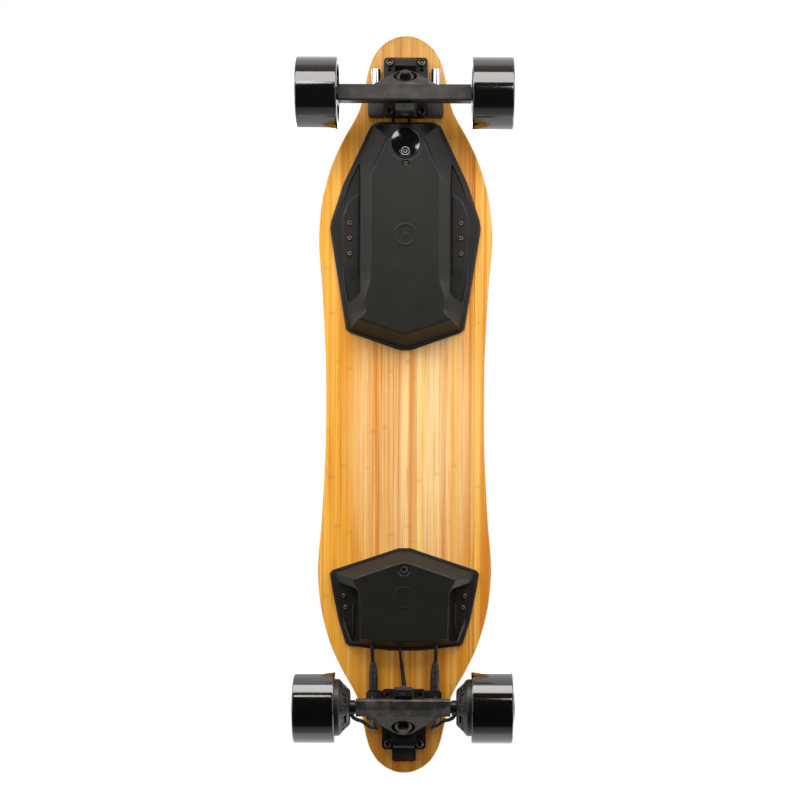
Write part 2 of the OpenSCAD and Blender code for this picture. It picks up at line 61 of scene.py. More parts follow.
# ------------------------------------------------------------------ materials
def new_mat(name):
    m = bpy.data.materials.new(name); m.use_nodes = True
    nt = m.node_tree; nt.nodes.clear()
    out = nt.nodes.new("ShaderNodeOutputMaterial"); b = nt.nodes.new("ShaderNodeBsdfPrincipled")
    nt.links.new(b.outputs[0], out.inputs[0])
    return m, nt, b, out

def coord(nt, scale=(1, 1, 1), loc=(0, 0, 0)):
    t = nt.nodes.new("ShaderNodeTexCoord"); mp = nt.nodes.new("ShaderNodeMapping")
    mp.inputs["Scale"].default_value = scale; mp.inputs["Location"].default_value = loc
    nt.links.new(t.outputs["Object"], mp.inputs[0]); return mp.outputs[0]

def noise(nt, vec, scale, detail=3, rough=0.55, dist=0.0):
    n = nt.nodes.new("ShaderNodeTexNoise"); n.inputs["Scale"].default_value = scale
    n.inputs["Detail"].default_value = detail; n.inputs["Roughness"].default_value = rough; n.inputs["Distortion"].default_value = dist
    nt.links.new(vec, n.inputs["Vector"]); return n.outputs["Fac"]

def ramp(nt, fac, stops, interp="LINEAR"):
    r = nt.nodes.new("ShaderNodeValToRGB"); cr = r.color_ramp; cr.interpolation = interp
    while len(cr.elements) < len(stops): cr.elements.new(0.5)
    for e, (p, c) in zip(cr.elements, stops):
        e.position = p; e.color = (c[0], c[1], c[2], 1) if hasattr(c, "__len__") else (c, c, c, 1)
    nt.links.new(fac, r.inputs[0]); return r.outputs[0]

def mix(nt, fac, a, b, mode="MIX"):
    m = nt.nodes.new("ShaderNodeMix"); m.data_type = "RGBA"; m.blend_type = mode
    for sock, v in ((m.inputs[0], fac), (m.inputs[6], a), (m.inputs[7], b)):
        if hasattr(v, "is_linked") or hasattr(v, "links"): nt.links.new(v, sock)
        elif hasattr(v, "__len__"): sock.default_value = (*v[:3], 1)
        else: sock.default_value = v
    return m.outputs[2]

def math_(nt, op, a, b=None, c=None):
    m = nt.nodes.new("ShaderNodeMath"); m.operation = op
    for s, v in zip(m.inputs, (a, b, c)):
        if v is None: continue
        if hasattr(v, "links"): nt.links.new(v, s)
        else: s.default_value = v
    return m.outputs[0]

def bump(nt, b, height, strength=0.3, dist=0.0005):
    n = nt.nodes.new("ShaderNodeBump"); n.inputs["Strength"].default_value = strength; n.inputs["Distance"].default_value = dist
    nt.links.new(height, n.inputs["Height"]); nt.links.new(n.outputs[0], b.inputs["Normal"]); return n

def edge_wear(nt, lo=0.52, hi=0.6):
    g = nt.nodes.new("ShaderNodeNewGeometry"); return ramp(nt, g.outputs["Pointiness"], [(lo, 0.0), (hi, 1.0)])

def plastic(name, c0, c1, rough=(0.42, 0.55), grain=900, gs=0.12, wear=None, coat=0.0, metallic=0.0, spec=0.5):
    m, nt, b, out = new_mat(name); v = coord(nt)
    big = noise(nt, v, 18, 4); fine = noise(nt, v, grain, 2)
    col = mix(nt, big, c0, c1)
    if wear is not None:
        w = math_(nt, "MULTIPLY", edge_wear(nt), ramp(nt, noise(nt, v, 60, 4), [(0.45, 0.0), (0.62, 1.0)]))
        col = mix(nt, w, col, wear)
    nt.links.new(col, b.inputs["Base Color"])
    nt.links.new(ramp(nt, noise(nt, v, 45, 5), [(0.3, rough[0]), (0.7, rough[1])]), b.inputs["Roughness"])
    b.inputs["Metallic"].default_value = metallic; b.inputs["Specular IOR Level"].default_value = spec
    b.inputs["Coat Weight"].default_value = coat; b.inputs["Coat Roughness"].default_value = 0.08
    bump(nt, b, fine, gs, 0.0002)
    return m

def metal(name, c0, c1, rough=(0.2, 0.34), grain=(40, 40, 900), gs=0.08):
    m, nt, b, out = new_mat(name); v = coord(nt); s = coord(nt, grain)
    nt.links.new(mix(nt, noise(nt, v, 70, 4), c0, c1), b.inputs["Base Color"])
    b.inputs["Metallic"].default_value = 1.0
    nt.links.new(ramp(nt, noise(nt, s, 3, 3), [(0.3, rough[0]), (0.7, rough[1])]), b.inputs["Roughness"])
    bump(nt, b, noise(nt, s, 4, 2), gs, 0.0001)
    return m

def bamboo(name):
    """Narrow bamboo strips along X, each with its own tone, knuckle marks, fibre streaks and a clear varnish; plies at the edge."""
    m, nt, b, out = new_mat(name)
    t = nt.nodes.new("ShaderNodeTexCoord"); sep = nt.nodes.new("ShaderNodeSeparateXYZ"); nt.links.new(t.outputs["Object"], sep.inputs[0])
    x, y, z = sep.outputs
    pitch = 0.0076
    wob = math_(nt, "MULTIPLY", math_(nt, "SUBTRACT", noise(nt, coord(nt, (1.2, 60, 1)), 1.0, 1), 0.5), 0.0016)
    row = math_(nt, "DIVIDE", math_(nt, "ADD", y, wob), pitch)
    cell = math_(nt, "FLOOR", row); fr = math_(nt, "FRACT", row)
    wn = nt.nodes.new("ShaderNodeTexWhiteNoise"); wn.noise_dimensions = "1D"; nt.links.new(cell, wn.inputs["W"])
    # each strip takes one tone, drawn from its index
    seg = math_(nt, "FLOOR", math_(nt, "MULTIPLY", wn.outputs["Value"], 7.3))
    wn2 = nt.nodes.new("ShaderNodeTexWhiteNoise"); wn2.noise_dimensions = "2D"
    cmb = nt.nodes.new("ShaderNodeCombineXYZ"); nt.links.new(cell, cmb.inputs[0]); nt.links.new(seg, cmb.inputs[1]); nt.links.new(cmb.outputs[0], wn2.inputs["Vector"])
    tone = wn2.outputs["Value"]
    base = ramp(nt, tone, [(0.0, (0.50, 0.130, 0.004)), (0.14, (0.64, 0.205, 0.007)), (0.40, (0.78, 0.305, 0.015)), (0.72, (0.90, 0.41, 0.034)), (1.0, (0.97, 0.53, 0.075))])
    cloud = noise(nt, coord(nt, (1.4, 15, 1)), 1.6, 3)
    base = mix(nt, ramp(nt, cloud, [(0.35, 0.0), (0.7, 0.42)]), base, (0.56, 0.165, 0.005))
    # painted highlight: a broad pale patch down the middle of the underside stands in for the varnish sheen there
    ex = math_(nt, "DIVIDE", math_(nt, "ADD", x, 0.045), 0.20); ey = math_(nt, "DIVIDE", math_(nt, "SUBTRACT", y, 0.012), 0.070)
    rad = math_(nt, "ADD", math_(nt, "POWER", math_(nt, "ABSOLUTE", ex), 2.0), math_(nt, "POWER", math_(nt, "ABSOLUTE", ey), 2.0))
    painted_centre_highlight = ramp(nt, math_(nt, "MULTIPLY", rad, 0.5), [(0.0, 0.80), (0.35, 0.55), (1.0, 0.0)], "EASE")
    base = mix(nt, painted_centre_highlight, base, (1.0, 0.76, 0.40))
    # painted shade: the wood is darkened towards the tail end, away from the key lamp
    tail_painted_shade = math_(nt, "MAXIMUM", math_(nt, "SUBTRACT", math_(nt, "MULTIPLY", x, -1.0), 0.24), 0.0)
    base = mix(nt, math_(nt, "MINIMUM", math_(nt, "MULTIPLY", tail_painted_shade, 0.5), 0.12), base, (0.50, 0.160, 0.005))
    # painted light: the wood is lightened towards the nose, where the key lamp stands
    nose_painted_light = math_(nt, "MAXIMUM", math_(nt, "SUBTRACT", x, 0.33), 0.0)
    base = mix(nt, math_(nt, "MINIMUM", math_(nt, "MULTIPLY", nose_painted_light, 5.0), 0.55), base, (1.0, 0.60, 0.13))
    broad = noise(nt, coord(nt, (0.9, 95, 3), (0.3, 0.11, 0)), 1.0, 3, 0.55)
    base = mix(nt, ramp(nt, broad, [(0.50, 0.0), (0.66, 0.80)]), base, (0.66, 0.215, 0.004))
    broad2 = noise(nt, coord(nt, (1.1, 120, 3), (4.3, 2.7, 0)), 1.0, 3, 0.55)
    base = mix(nt, ramp(nt, broad2, [(0.50, 0.0), (0.66, 0.75)]), base, (1.0, 0.58, 0.13))
    streak = noise(nt, coord(nt, (7, 520, 9)), 1.0, 5, 0.7)
    patch = ramp(nt, noise(nt, coord(nt, (9, 130, 3), (1.7, 5.1, 0)), 1.0, 3, 0.6), [(0.42, 0.25), (0.62, 1.0)])
    base = mix(nt, math_(nt, "MULTIPLY", patch, ramp(nt, streak, [(0.46, 0.0), (0.70, 0.80)])), base, (0.56, 0.140, 0.002))
    pale = noise(nt, coord(nt, (3, 420, 3), (3.1, 0.7, 0)), 1.0, 4, 0.6)
    base = mix(nt, ramp(nt, pale, [(0.52, 0.0), (0.78, 0.50)]), base, (1.0, 0.60, 0.14))
    # knuckle bands every strip, at its own offset
    kx = math_(nt, "ADD", math_(nt, "DIVIDE", x, 0.215), math_(nt, "MULTIPLY", wn.outputs["Value"], 9.0))
    kf = math_(nt, "ABSOLUTE", math_(nt, "SUBTRACT", math_(nt, "FRACT", kx), 0.5))
    kn = math_(nt, "MULTIPLY", ramp(nt, kf, [(0.0, 0.75), (0.006, 0.35), (0.020, 0.0)]), math_(nt, "MULTIPLY", ramp(nt, wn2.outputs["Value"], [(0.5, 0.0), (0.7, 0.55)]), ramp(nt, noise(nt, coord(nt, (60, 700, 9)), 1.0, 3), [(0.35, 0.2), (0.65, 1.0)])))
    base = mix(nt, kn, base, (0.34, 0.10, 0.012))
    # glue lines
    gl = math_(nt, "ABSOLUTE", math_(nt, "SUBTRACT", fr, 0.5))
    line = ramp(nt, gl, [(0.43, 0.0), (0.49, 0.30)])
    base = mix(nt, line, base, (0.30, 0.115, 0.02))
    # plies on the edge: layers across the thickness
    g = nt.nodes.new("ShaderNodeNewGeometry"); ns = nt.nodes.new("ShaderNodeSeparateXYZ"); nt.links.new(g.outputs["Normal"], ns.inputs[0])
    side = ramp(nt, math_(nt, "ABSOLUTE", ns.outputs[2]), [(0.35, 1.0), (0.7, 0.0)])
    zz = math_(nt, "FRACT", math_(nt, "DIVIDE", math_(nt, "SUBTRACT", z, math_(nt, "MULTIPLY", math_(nt, "POWER", math_(nt, "MAXIMUM", math_(nt, "SUBTRACT", math_(nt, "ABSOLUTE", y), 0.056), 0.0), 2.0), 1.04)), 0.0034))
    ply = ramp(nt, zz, [(0.0, (0.20, 0.08, 0.018)), (0.06, (0.66, 0.35, 0.10)), (0.5, (0.72, 0.42, 0.14)), (0.55, (0.40, 0.17, 0.04)), (0.95, (0.46, 0.2, 0.05)), (1.0, (0.20, 0.08, 0.018))])
    ply = mix(nt, ramp(nt, noise(nt, coord(nt, (60, 60, 900)), 1.0, 3), [(0.4, 0.0), (0.8, 0.5)]), ply, (0.38, 0.16, 0.04))
    base = mix(nt, side, base, ply)
    nt.links.new(base, b.inputs["Base Color"])
    nt.links.new(ramp(nt, noise(nt, coord(nt, (30, 30, 30)), 3.0, 4), [(0.3, 0.30), (0.7, 0.42)]), b.inputs["Roughness"])
    b.inputs["Specular IOR Level"].default_value = 0.30; b.inputs["Coat Weight"].default_value = 0.10; b.inputs["Coat Roughness"].default_value = 0.20
    h = mix(nt, 0.5, streak, line, "SUBTRACT")
    bump(nt, b, h, 0.18, 0.0003)
    return m

def grip(name):
    m, nt, b, out = new_mat(name); v = coord(nt)
    vo = nt.nodes.new("ShaderNodeTexVoronoi"); vo.inputs["Scale"].default_value = 1100; nt.links.new(v, vo.inputs["Vector"])
    spark = ramp(nt, vo.outputs["Distance"], [(0.0, (0.11, 0.11, 0.115)), (0.35, (0.022, 0.022, 0.023)), (1.0, (0.008, 0.008, 0.008))])
    scuff = ramp(nt, noise(nt, coord(nt, (5, 9, 5)), 1.6, 5), [(0.5, 0.0), (0.75, 0.35)])
    nt.links.new(mix(nt, scuff, spark, (0.07, 0.068, 0.065)), b.inputs["Base Color"])
    nt.links.new(ramp(nt, vo.outputs["Color"], [(0.0, 0.55), (1.0, 0.95)]), b.inputs["Roughness"])
    bump(nt, b, vo.outputs["Distance"], 0.9, 0.0006); return m

def tyre_mat(name):
    m, nt, b, out = new_mat(name); v = coord(nt)
    nt.links.new(mix(nt, noise(nt, v, 25, 4), (0.0022, 0.0021, 0.0018), (0.0036, 0.0034, 0.003)), b.inputs["Base Color"])
    nt.links.new(ramp(nt, noise(nt, v, 55, 5), [(0.3, 0.09), (0.72, 0.13)]), b.inputs["Roughness"])
    b.inputs["Specular IOR Level"].default_value = 0.85; b.inputs["Coat Weight"].default_value = 0.6; b.inputs["Coat Roughness"].default_value = 0.05; b.inputs["Coat IOR"].default_value = 1.6
    bump(nt, b, noise(nt, v, 240, 3), 0.05, 0.0002); return m

def glass(name, color, rough=0.03, tr=1.0):
    m, nt, b, out = new_mat(name); v = coord(nt)
    nt.links.new(mix(nt, noise(nt, v, 60, 2), color, tuple(min(1, c*1.12) for c in color)), b.inputs["Base Color"])
    b.inputs["Transmission Weight"].default_value = tr; b.inputs["IOR"].default_value = 1.49
    nt.links.new(ramp(nt, noise(nt, v, 200, 2), [(0.3, rough), (0.7, rough + 0.06)]), b.inputs["Roughness"]); return m

M = {
 "bamboo": bamboo("bamboo"), "grip": grip("grip_grit"),
 "case": plastic("case_plastic", (0.0095, 0.0086, 0.0070), (0.0130, 0.0116, 0.0094), (0.38, 0.46), 1500, 0.10, (0.055, 0.048, 0.042), spec=0.30),
 "rubber": plastic("gasket_rubber", (0.010, 0.010, 0.010), (0.016, 0.016, 0.015), (0.5, 0.7), 700, 0.1),
 "black_metal": plastic("black_coat", (0.0125, 0.0105, 0.0085), (0.0155, 0.013, 0.0108), (0.44, 0.52), 1500, 0.16, (0.08, 0.07, 0.06), spec=0.42),
 "cast": plastic("black_cast", (0.0045, 0.0041, 0.0034), (0.0072, 0.0065, 0.0054), (0.44, 0.57), 900, 0.2, (0.045, 0.04, 0.035), spec=0.32),
 "bracket": plastic("bracket_plastic", (0.007, 0.0065, 0.006), (0.012, 0.011, 0.010), (0.32, 0.48), 900, 0.1, (0.07, 0.066, 0.06)),
 "cable": plastic("cable_jacket", (0.007, 0.007, 0.0065), (0.012, 0.0115, 0.011), (0.3, 0.45), 500, 0.06),
 "gloss": plastic("gloss_panel", (0.003, 0.003, 0.003), (0.005, 0.005, 0.005), (0.03, 0.06), 60, 0.0, coat=1.0),
 "icon": plastic("icon_print", (0.42, 0.42, 0.42), (0.5, 0.5, 0.5), (0.3, 0.4), 300, 0.02),
 "motor": plastic("motor_coat", (0.007, 0.0068, 0.0062), (0.011, 0.0105, 0.0095), (0.34, 0.46), 1200, 0.14, (0.07, 0.065, 0.06)),
 "stub": plastic("axle_sleeve", (0.012, 0.012, 0.012), (0.02, 0.02, 0.02), (0.16, 0.26), 300, 0.05, metallic=0.5),
 "core": plastic("wheel_core", (0.016, 0.015, 0.015), (0.028, 0.026, 0.025), (0.35, 0.5), 900, 0.12, (0.08, 0.075, 0.07)),
 "cover": plastic("motor_cover", (0.030, 0.030, 0.030), (0.045, 0.044, 0.043), (0.3, 0.42), 1200, 0.1, (0.2, 0.2, 0.2), metallic=0.6),
 "bushing": plastic("urethane_bushing", (0.012, 0.012, 0.012), (0.022, 0.021, 0.020), (0.25, 0.4), 300, 0.05),
 "chrome": metal("chrome", (0.58, 0.58, 0.60), (0.66, 0.66, 0.68), (0.05, 0.10), (60, 60, 60), 0.01),
 "steel": metal("machined_steel", (0.50, 0.50, 0.51), (0.64, 0.64, 0.65), (0.2, 0.34)),
 "dark_steel": metal("dark_steel", (0.10, 0.075, 0.06), (0.17, 0.13, 0.105), (0.28, 0.42)),
 "screw": metal("case_screw", (0.11, 0.062, 0.035), (0.20, 0.12, 0.075), (0.3, 0.45)),
 "bolt": metal("bolt_steel", (0.085, 0.066, 0.053), (0.16, 0.13, 0.105), (0.25, 0.4)),
 "nut": metal("kingpin_nut", (0.055, 0.045, 0.035), (0.10, 0.085, 0.068), (0.25, 0.4)),
 "copper": metal("copper_wire", (0.62, 0.27, 0.10), (0.74, 0.36, 0.15), (0.2, 0.35)),
 "nickel": metal("nickel_strip", (0.55, 0.52, 0.46), (0.66, 0.63, 0.56)),
 "wrap": plastic("cell_wrap", (0.03, 0.12, 0.30), (0.04, 0.16, 0.36), (0.2, 0.35), 200, 0.03),
 "board": plastic("circuit_board", (0.01, 0.09, 0.045), (0.015, 0.12, 0.06), (0.25, 0.4), 900, 0.1),
 "lens": glass("clear_lens", (0.92, 0.95, 0.98)), "red": glass("red_lens", (0.30, 0.006, 0.010), 0.05, 0.6), "tyre": tyre_mat("urethane"),
}

def set_mat(o, m):
    o.data.materials.clear(); o.data.materials.append(M[m])
ASSIGN = {"battery_cells": "wrap", "cell_holders": "nickel", "battery_management_board": "board", "enclosure_screws": "dark_steel",
 "battery_test_plug": "bracket", "controller_board": "board", "controller_heatsink": "steel", "charge_socket": "dark_steel",
 "front_light_bracket": "bracket", "rear_cable_bracket": "bracket", "headlight_housings": "chrome", "headlight_lenses": "lens",
 "headlight_cables": "cable", "tail_light_housing": "bracket", "tail_light_lens": "red", "tail_light_cable": "cable",
 "front_baseplate": "cast", "rear_baseplate": "cast", "pivot_cups": "bushing", "kingpins": "nut", "kingpin_nuts": "nut", "cup_washers": "nut",
 "truck_bolts": "bolt", "truck_bolt_nuts": "bolt", "front_bushings": "bushing", "rear_bushings": "bushing", "motor_cable_plugs": "cable",
 "left_motor_cable": "cable", "right_motor_cable": "cable", "front_hanger": "black_metal", "front_axle": "steel", "front_axle_nuts": "steel",
 "front_axle_spacers": "steel", "rear_hanger": "black_metal", "motor_axles": "stub", "motor_stators": "steel", "motor_windings": "copper",
 "power_panel": "gloss", "power_button": "gloss", "enclosure_gaskets": "rubber", "deck": "bamboo", "grip_tape": "grip",
 "battery_enclosure": "case", "controller_enclosure": "case"}
for sd in ("left", "right"):
    ASSIGN.update({f"front_{sd}_tyre": "tyre", f"front_{sd}_wheel_core": "core", f"front_{sd}_bearings": "steel", f"rear_{sd}_tyre": "tyre",
      f"rear_{sd}_motor_housing": "motor", f"rear_{sd}_magnet_ring": "steel", f"rear_{sd}_motor_cover": "cover", f"rear_{sd}_motor_bearings": "steel"})
for n, m in ASSIGN.items():
    set_mat(NODE[n], m)

def bevel(name, w, seg=3, angle=28):
    o = NODE[name] if isinstance(name, str) else name
    for mm_ in ("WELD",):
        wm = o.modifiers.new("weld", "WELD"); wm.merge_threshold = 0.00001
    md = o.modifiers.new("bevel", "BEVEL"); md.width = w; md.segments = seg; md.limit_method = "ANGLE"; md.angle_limit = math.radians(angle)
    md.harden_normals = False; md.miter_outer = "MITER_ARC"; md.use_clamp_overlap = True
    for p in o.data.polygons: p.use_smooth = True
    wn = o.modifiers.new("wn", "WEIGHTED_NORMAL"); wn.keep_sharp = False; wn.weight = 80

sc = bpy.context.scene
# ------------------------------------------------------------------ mesh helpers
def mesh_obj(name, verts, faces, mat, body, smooth=True):
    me = bpy.data.meshes.new(name); me.from_pydata([tuple(v) for v in verts], [], faces); me.validate(); me.update()
    bm = bmesh.new(); bm.from_mesh(me); bmesh.ops.remove_doubles(bm, verts=bm.verts, dist=1e-6)
    bmesh.ops.recalc_face_normals(bm, faces=bm.faces); bm.to_mesh(me); bm.free()
    o = bpy.data.objects.new(name, me); bpy.context.scene.collection.objects.link(o)
    for p in me.polygons: p.use_smooth = smooth
    me.materials.append(M[mat])
    if body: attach(o, body)
    return o

def smooth_by_angle(o, deg=35):
    me = o.data
    bm = bmesh.new(); bm.from_mesh(me)
    for e in bm.edges:
        if len(e.link_faces) == 2: e.smooth = e.calc_face_angle(0) < math.radians(deg)
    bm.to_mesh(me); bm.free()
    for p in me.polygons: p.use_smooth = True

def lathe(name, prof, centre, axis_sign, mat, body, seg=128):
    """prof: closed list of (r, along) in mm; turned about Y through centre; along grows away from the centre line."""
    vs, fs = [], []; n = len(prof)
    for i in range(seg):
        a = 2*math.pi*i/seg
        for r, y in prof:
            vs.append((centre[0] + r*MM*math.cos(a), centre[1] + axis_sign*y*MM, centre[2] + r*MM*math.sin(a)))
    for i in range(seg):
        for j in range(n):
            a, b_ = i*n + j, i*n + (j+1) % n; c, d = ((i+1) % seg)*n + (j+1) % n, ((i+1) % seg)*n + j
            fs.append((a, b_, c, d))
    o = mesh_obj(name, vs, fs, mat, body); smooth_by_angle(o, 40); return o

def arc(cx, cy, r, a0, a1, n=6):
    return [(cx + r*math.cos(math.radians(a0 + (a1-a0)*i/n)), cy + r*math.sin(math.radians(a0 + (a1-a0)*i/n))) for i in range(n+1)]

def tube(name, pts, r, mat, body, seg=14, per=8, caps=True):
    P = [Vector(p)*MM for p in pts]; n = len(P); Q = []
    for i in range(n-1):
        a, b_, c, d = P[max(i-1, 0)], P[i], P[i+1], P[min(i+2, n-1)]
        for k in range(per):
            f = k/per
            Q.append(0.5*(2*b_ + (c-a)*f + (2*a-5*b_+4*c-d)*f*f + (3*b_-a-3*c+d)*f**3))
    Q.append(P[-1]); R = r if callable(r) else (lambda t: r)
    vs, fs = [], []; up = None
    for i, q in enumerate(Q):
        t = (Q[min(i+1, len(Q)-1)] - Q[max(i-1, 0)]).normalized()
        if up is None: up = Vector((0, 0, 1)) if abs(t.z) < 0.8 else Vector((1, 0, 0))
        u = (up - t*up.dot(t)).normalized(); up = u; w = t.cross(u); rr = R(i/(len(Q)-1))*MM
        for j in range(seg):
            a = 2*math.pi*j/seg; vs.append(q + rr*(math.cos(a)*u + math.sin(a)*w))
    for i in range(len(Q)-1):
        for j in range(seg): fs.append((i*seg+j, i*seg+(j+1) % seg, (i+1)*seg+(j+1) % seg, (i+1)*seg+j))
    if caps: fs += [tuple(range(seg-1, -1, -1)), tuple((len(Q)-1)*seg + j for j in range(seg))]
    return mesh_obj(name, vs, fs, mat, body)

# ------------------------------------------------------------------ deck
HALF = [(0, 103.7), (32, 103.8), (58, 104.2), (84, 105.3), (110, 106.6), (137, 108.1), (163, 109.9), (189, 112.3), (215, 113.8), (241, 112.6),
 (268, 109.3), (294, 103.1), (320, 94.5), (346, 82.2), (359, 74.9), (372, 67.4), (385, 61.1), (400, 57), (425, 51.9), (438, 48.8), (451, 44.5),
 (464, 36.7), (470, 31), (475, 24.6), (479, 17), (481.5, 9.5), (482.5, 0)]
def half_pts():
    H = np.array(HALF, float); out = []
    P = np.vstack([[-H[1][0], H[1][1]], H, [H[-2][0], -H[-2][1]]])
    for i in range(1, len(P)-2):
        a, b_, c, d = P[i-1], P[i], P[i+1], P[i+2]; n = 4 if i < 18 else 5
        for k in range(n):
            f = k/n; out.append(0.5*(2*b_ + (c-a)*f + (2*a-5*b_+4*c-d)*f*f + (3*b_-a-3*c+d)*f**3))
    out.append(P[-2]); return np.array(out)
HP = half_pts()
def outline():
    q = [tuple(p) for p in HP]; full = q + [(x, -y) for x, y in q[-2::-1]]
    full += [(-x, -y) for x, y in q[1:]] + [(-x, y) for x, y in q[-2:0:-1]]
    return np.array(full)
def rise(y): return max(abs(y) - 56, 0)**2 * (3.5/58**2)

def deck_slab(name, z0, z1, inset, rnd, mat, body):
    """Slab following the concave, with rounded edges; rings from the rim inwards."""
    O = outline(); n = len(O)
    T = np.roll(O, -1, 0) - np.roll(O, 1, 0); T /= np.linalg.norm(T, axis=1)[:, None]; N = np.stack([T[:, 1], -T[:, 0]], 1)
    cen = np.mean(O, 0)
    if np.sum((O - cen)*N) < 0: N = -N
    O = O - N*inset
    rings = []  # (inset from rim, z)
    k = 5
    for i in range(k+1):
        a = math.pi/2*i/k; rings.append((rnd*(1-math.sin(a)), z0 + rnd*(1-math.cos(a)), 0))
    rings.reverse()
    low = [(rnd*(1-math.sin(math.pi/2*i/k)), z0 + rnd*(1-math.cos(math.pi/2*i/k))) for i in range(k+1)]
    # low: i=0 is flat bottom start, i=k is the vertical side
    prof = low + [(d, z1 - (z - z0)) for d, z in reversed(low)]
    vs, fs = [], []
    def ring(d, z):
        s = len(vs)
        for (x, y), (nx, ny) in zip(O, N):
            X, Y = x - nx*d, y - ny*d; vs.append((X*MM, Y*MM, (z + rise(Y))*MM))
        return s
    rs = [ring(d, z) for d, z in prof]
    for a, b_ in zip(rs, rs[1:]):
        for i in range(n): fs.append((a+i, a+(i+1) % n, b_+(i+1) % n, b_+i))
    # caps: strips across between mirrored points
    def cap(start, z, flip):
        half_n = n//2; base = vs[start:start+n]
        steps = 14; rows = []
        for i in range(1, half_n):
            j = n - i if False else None
        idx_top = [i for i in range(n)]
        # pair points of equal x: outline starts at x=0,y>0 and goes to the nose, back along y<0 to the tail, and home
        q = len(HP)
        pos = [(-(i)) % n for i in range(-(q-1), q)]       # tail .. nose along +y side reversed order
        up = [i % n for i in range(-(q-1), q)]             # x from -482 to 482 on y>0 side
        dn = [(2*(q-1) - i) % n for i in range(-(q-1), q)] # same x on y<0 side
        grid = []
        for a, b_ in zip(up, dn):
            A, B = Vector(base[a]), Vector(base[b_])
            if a == b_: grid.append([start + a]); continue
            r = [start + a]
            for s in range(1, steps):
                t = s/steps; Y = A.y*(1-t) + B.y*t; X = A.x
                vs.append((X, Y, (z + rise(Y*1000))*MM)); r.append(len(vs)-1)
            r.append(start + b_); grid.append(r)
        for r0, r1 in zip(grid, grid[1:]):
            if len(r0) == 1: tri = [(r0[0], r1[s], r1[s+1]) for s in range(len(r1)-1)]
            elif len(r1) == 1: tri = [(r0[s], r0[s+1], r1[0]) for s in range(len(r0)-1)]
            else: tri = [(r0[s], r0[s+1], r1[s+1], r1[s]) for s in range(len(r0)-1)]
            fs.extend(tri)
    cap(rs[0], z0, True); cap(rs[-1], z1, False)
    o = mesh_obj(name, vs, fs, mat, body); smooth_by_angle(o, 50); return o

deck = deck_slab("deck_laminate", 115, 127, 0.0, 3.0, "bamboo", "board"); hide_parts("deck")
gripo = deck_slab("grip_sheet", 127.02, 128.0, 3.0, 0.35, "grip", "board"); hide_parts("grip_tape")

# ------------------------------------------------------------------ moulded enclosures as fine height fields
def seg_dist(px, py, P, closed=True, skip=()):
    d = np.full(px.shape, 1e9); m = len(P)
    for i in range(m if closed else m-1):
        if i in skip: continue
        ax, ay = P[i]; bx, by = P[(i+1) % m]; ex, ey = bx-ax, by-ay; L = ex*ex + ey*ey + 1e-12
        t = np.clip(((px-ax)*ex + (py-ay)*ey)/L, 0, 1); d = np.minimum(d, np.hypot(px-ax-t*ex, py-ay-t*ey))
    return d
def inside(px, py, P):
    r = np.zeros(px.shape, bool); m = len(P)
    for i in range(m):
        x0, y0 = P[i]; x1, y1 = P[(i+1) % m]
        c = ((y0 > py) != (y1 > py)) & (px < (x1-x0)*(py-y0)/(y1-y0+1e-12) + x0); r ^= c
    return r
def sdist(px, py, P):
    d = seg_dist(px, py, P); return np.where(inside(px, py, P), d, -d)   # positive inside
def smin(a, b, k):
    h = np.clip(0.5 + 0.5*(b-a)/k, 0, 1); return b*(1-h) + a*h - k*h*(1-h)
def smax(a, b, k): return -smin(-a, -b, k)
def step(x, w): return 1/(1+np.exp(-np.clip(x/w*4, -40, 40)))

def shell(name, rim, hfun, mat, nx=260, ny=150, top_z=112.6, deck_z=115.0, c=220.0, q=0.975):
    """rim: half outline [(x, half width)], x descending or ascending. Surface depth below the deck from hfun."""
    R = np.array([(c + (x-c)*q, y - (2.6 if y > 3 else 0.87*y)) for x, y in sorted(rim)]); x0, x1 = R[0][0], R[-1][0]
    s = 0.5 - 0.5*np.cos(np.linspace(0, math.pi, nx)); u = np.linspace(0, 1, nx)
    xs = x0 + (x1-x0)*(0.35*s + 0.65*u); w = np.interp(xs, R[:, 0], R[:, 1])
    t = np.sin(np.linspace(-math.pi/2, math.pi/2, ny)); t = 0.3*t + 0.7*np.linspace(-1, 1, ny)
    X = np.repeat(xs[:, None], ny, 1); Y = w[:, None]*t[None, :]
    D = hfun(X, Y); Z = deck_z - D
    vs = np.stack([X, Y, Z], 2).reshape(-1, 3)*MM
    bt = np.stack([X, Y, np.full_like(X, top_z)], 2)
    fs = []
    for i in range(nx-1):
        for j in range(ny-1):
            a = i*ny+j; fs.append((a, a+1, a+ny+1, a+ny))
    # back: one perimeter ring and a coarse cap
    per = [(i, 0) for i in range(nx)] + [(nx-1, j) for j in range(1, ny)] + [(i, ny-1) for i in range(nx-2, -1, -1)] + [(0, j) for j in range(ny-2, 0, -1)]
    vl = [tuple(v) for v in vs]; base = len(vl)
    for i, j in per: vl.append(tuple(bt[i, j]*MM))
    m = len(per)
    for k in range(m):
        a = per[k][0]*ny + per[k][1]; b_ = per[(k+1) % m][0]*ny + per[(k+1) % m][1]
        fs.append((a, b_, base+(k+1) % m, base+k))
    fs.append(tuple(base+k for k in range(m)))
    o = mesh_obj(name, vl, fs, mat, "board"); smooth_by_angle(o, 42); return o

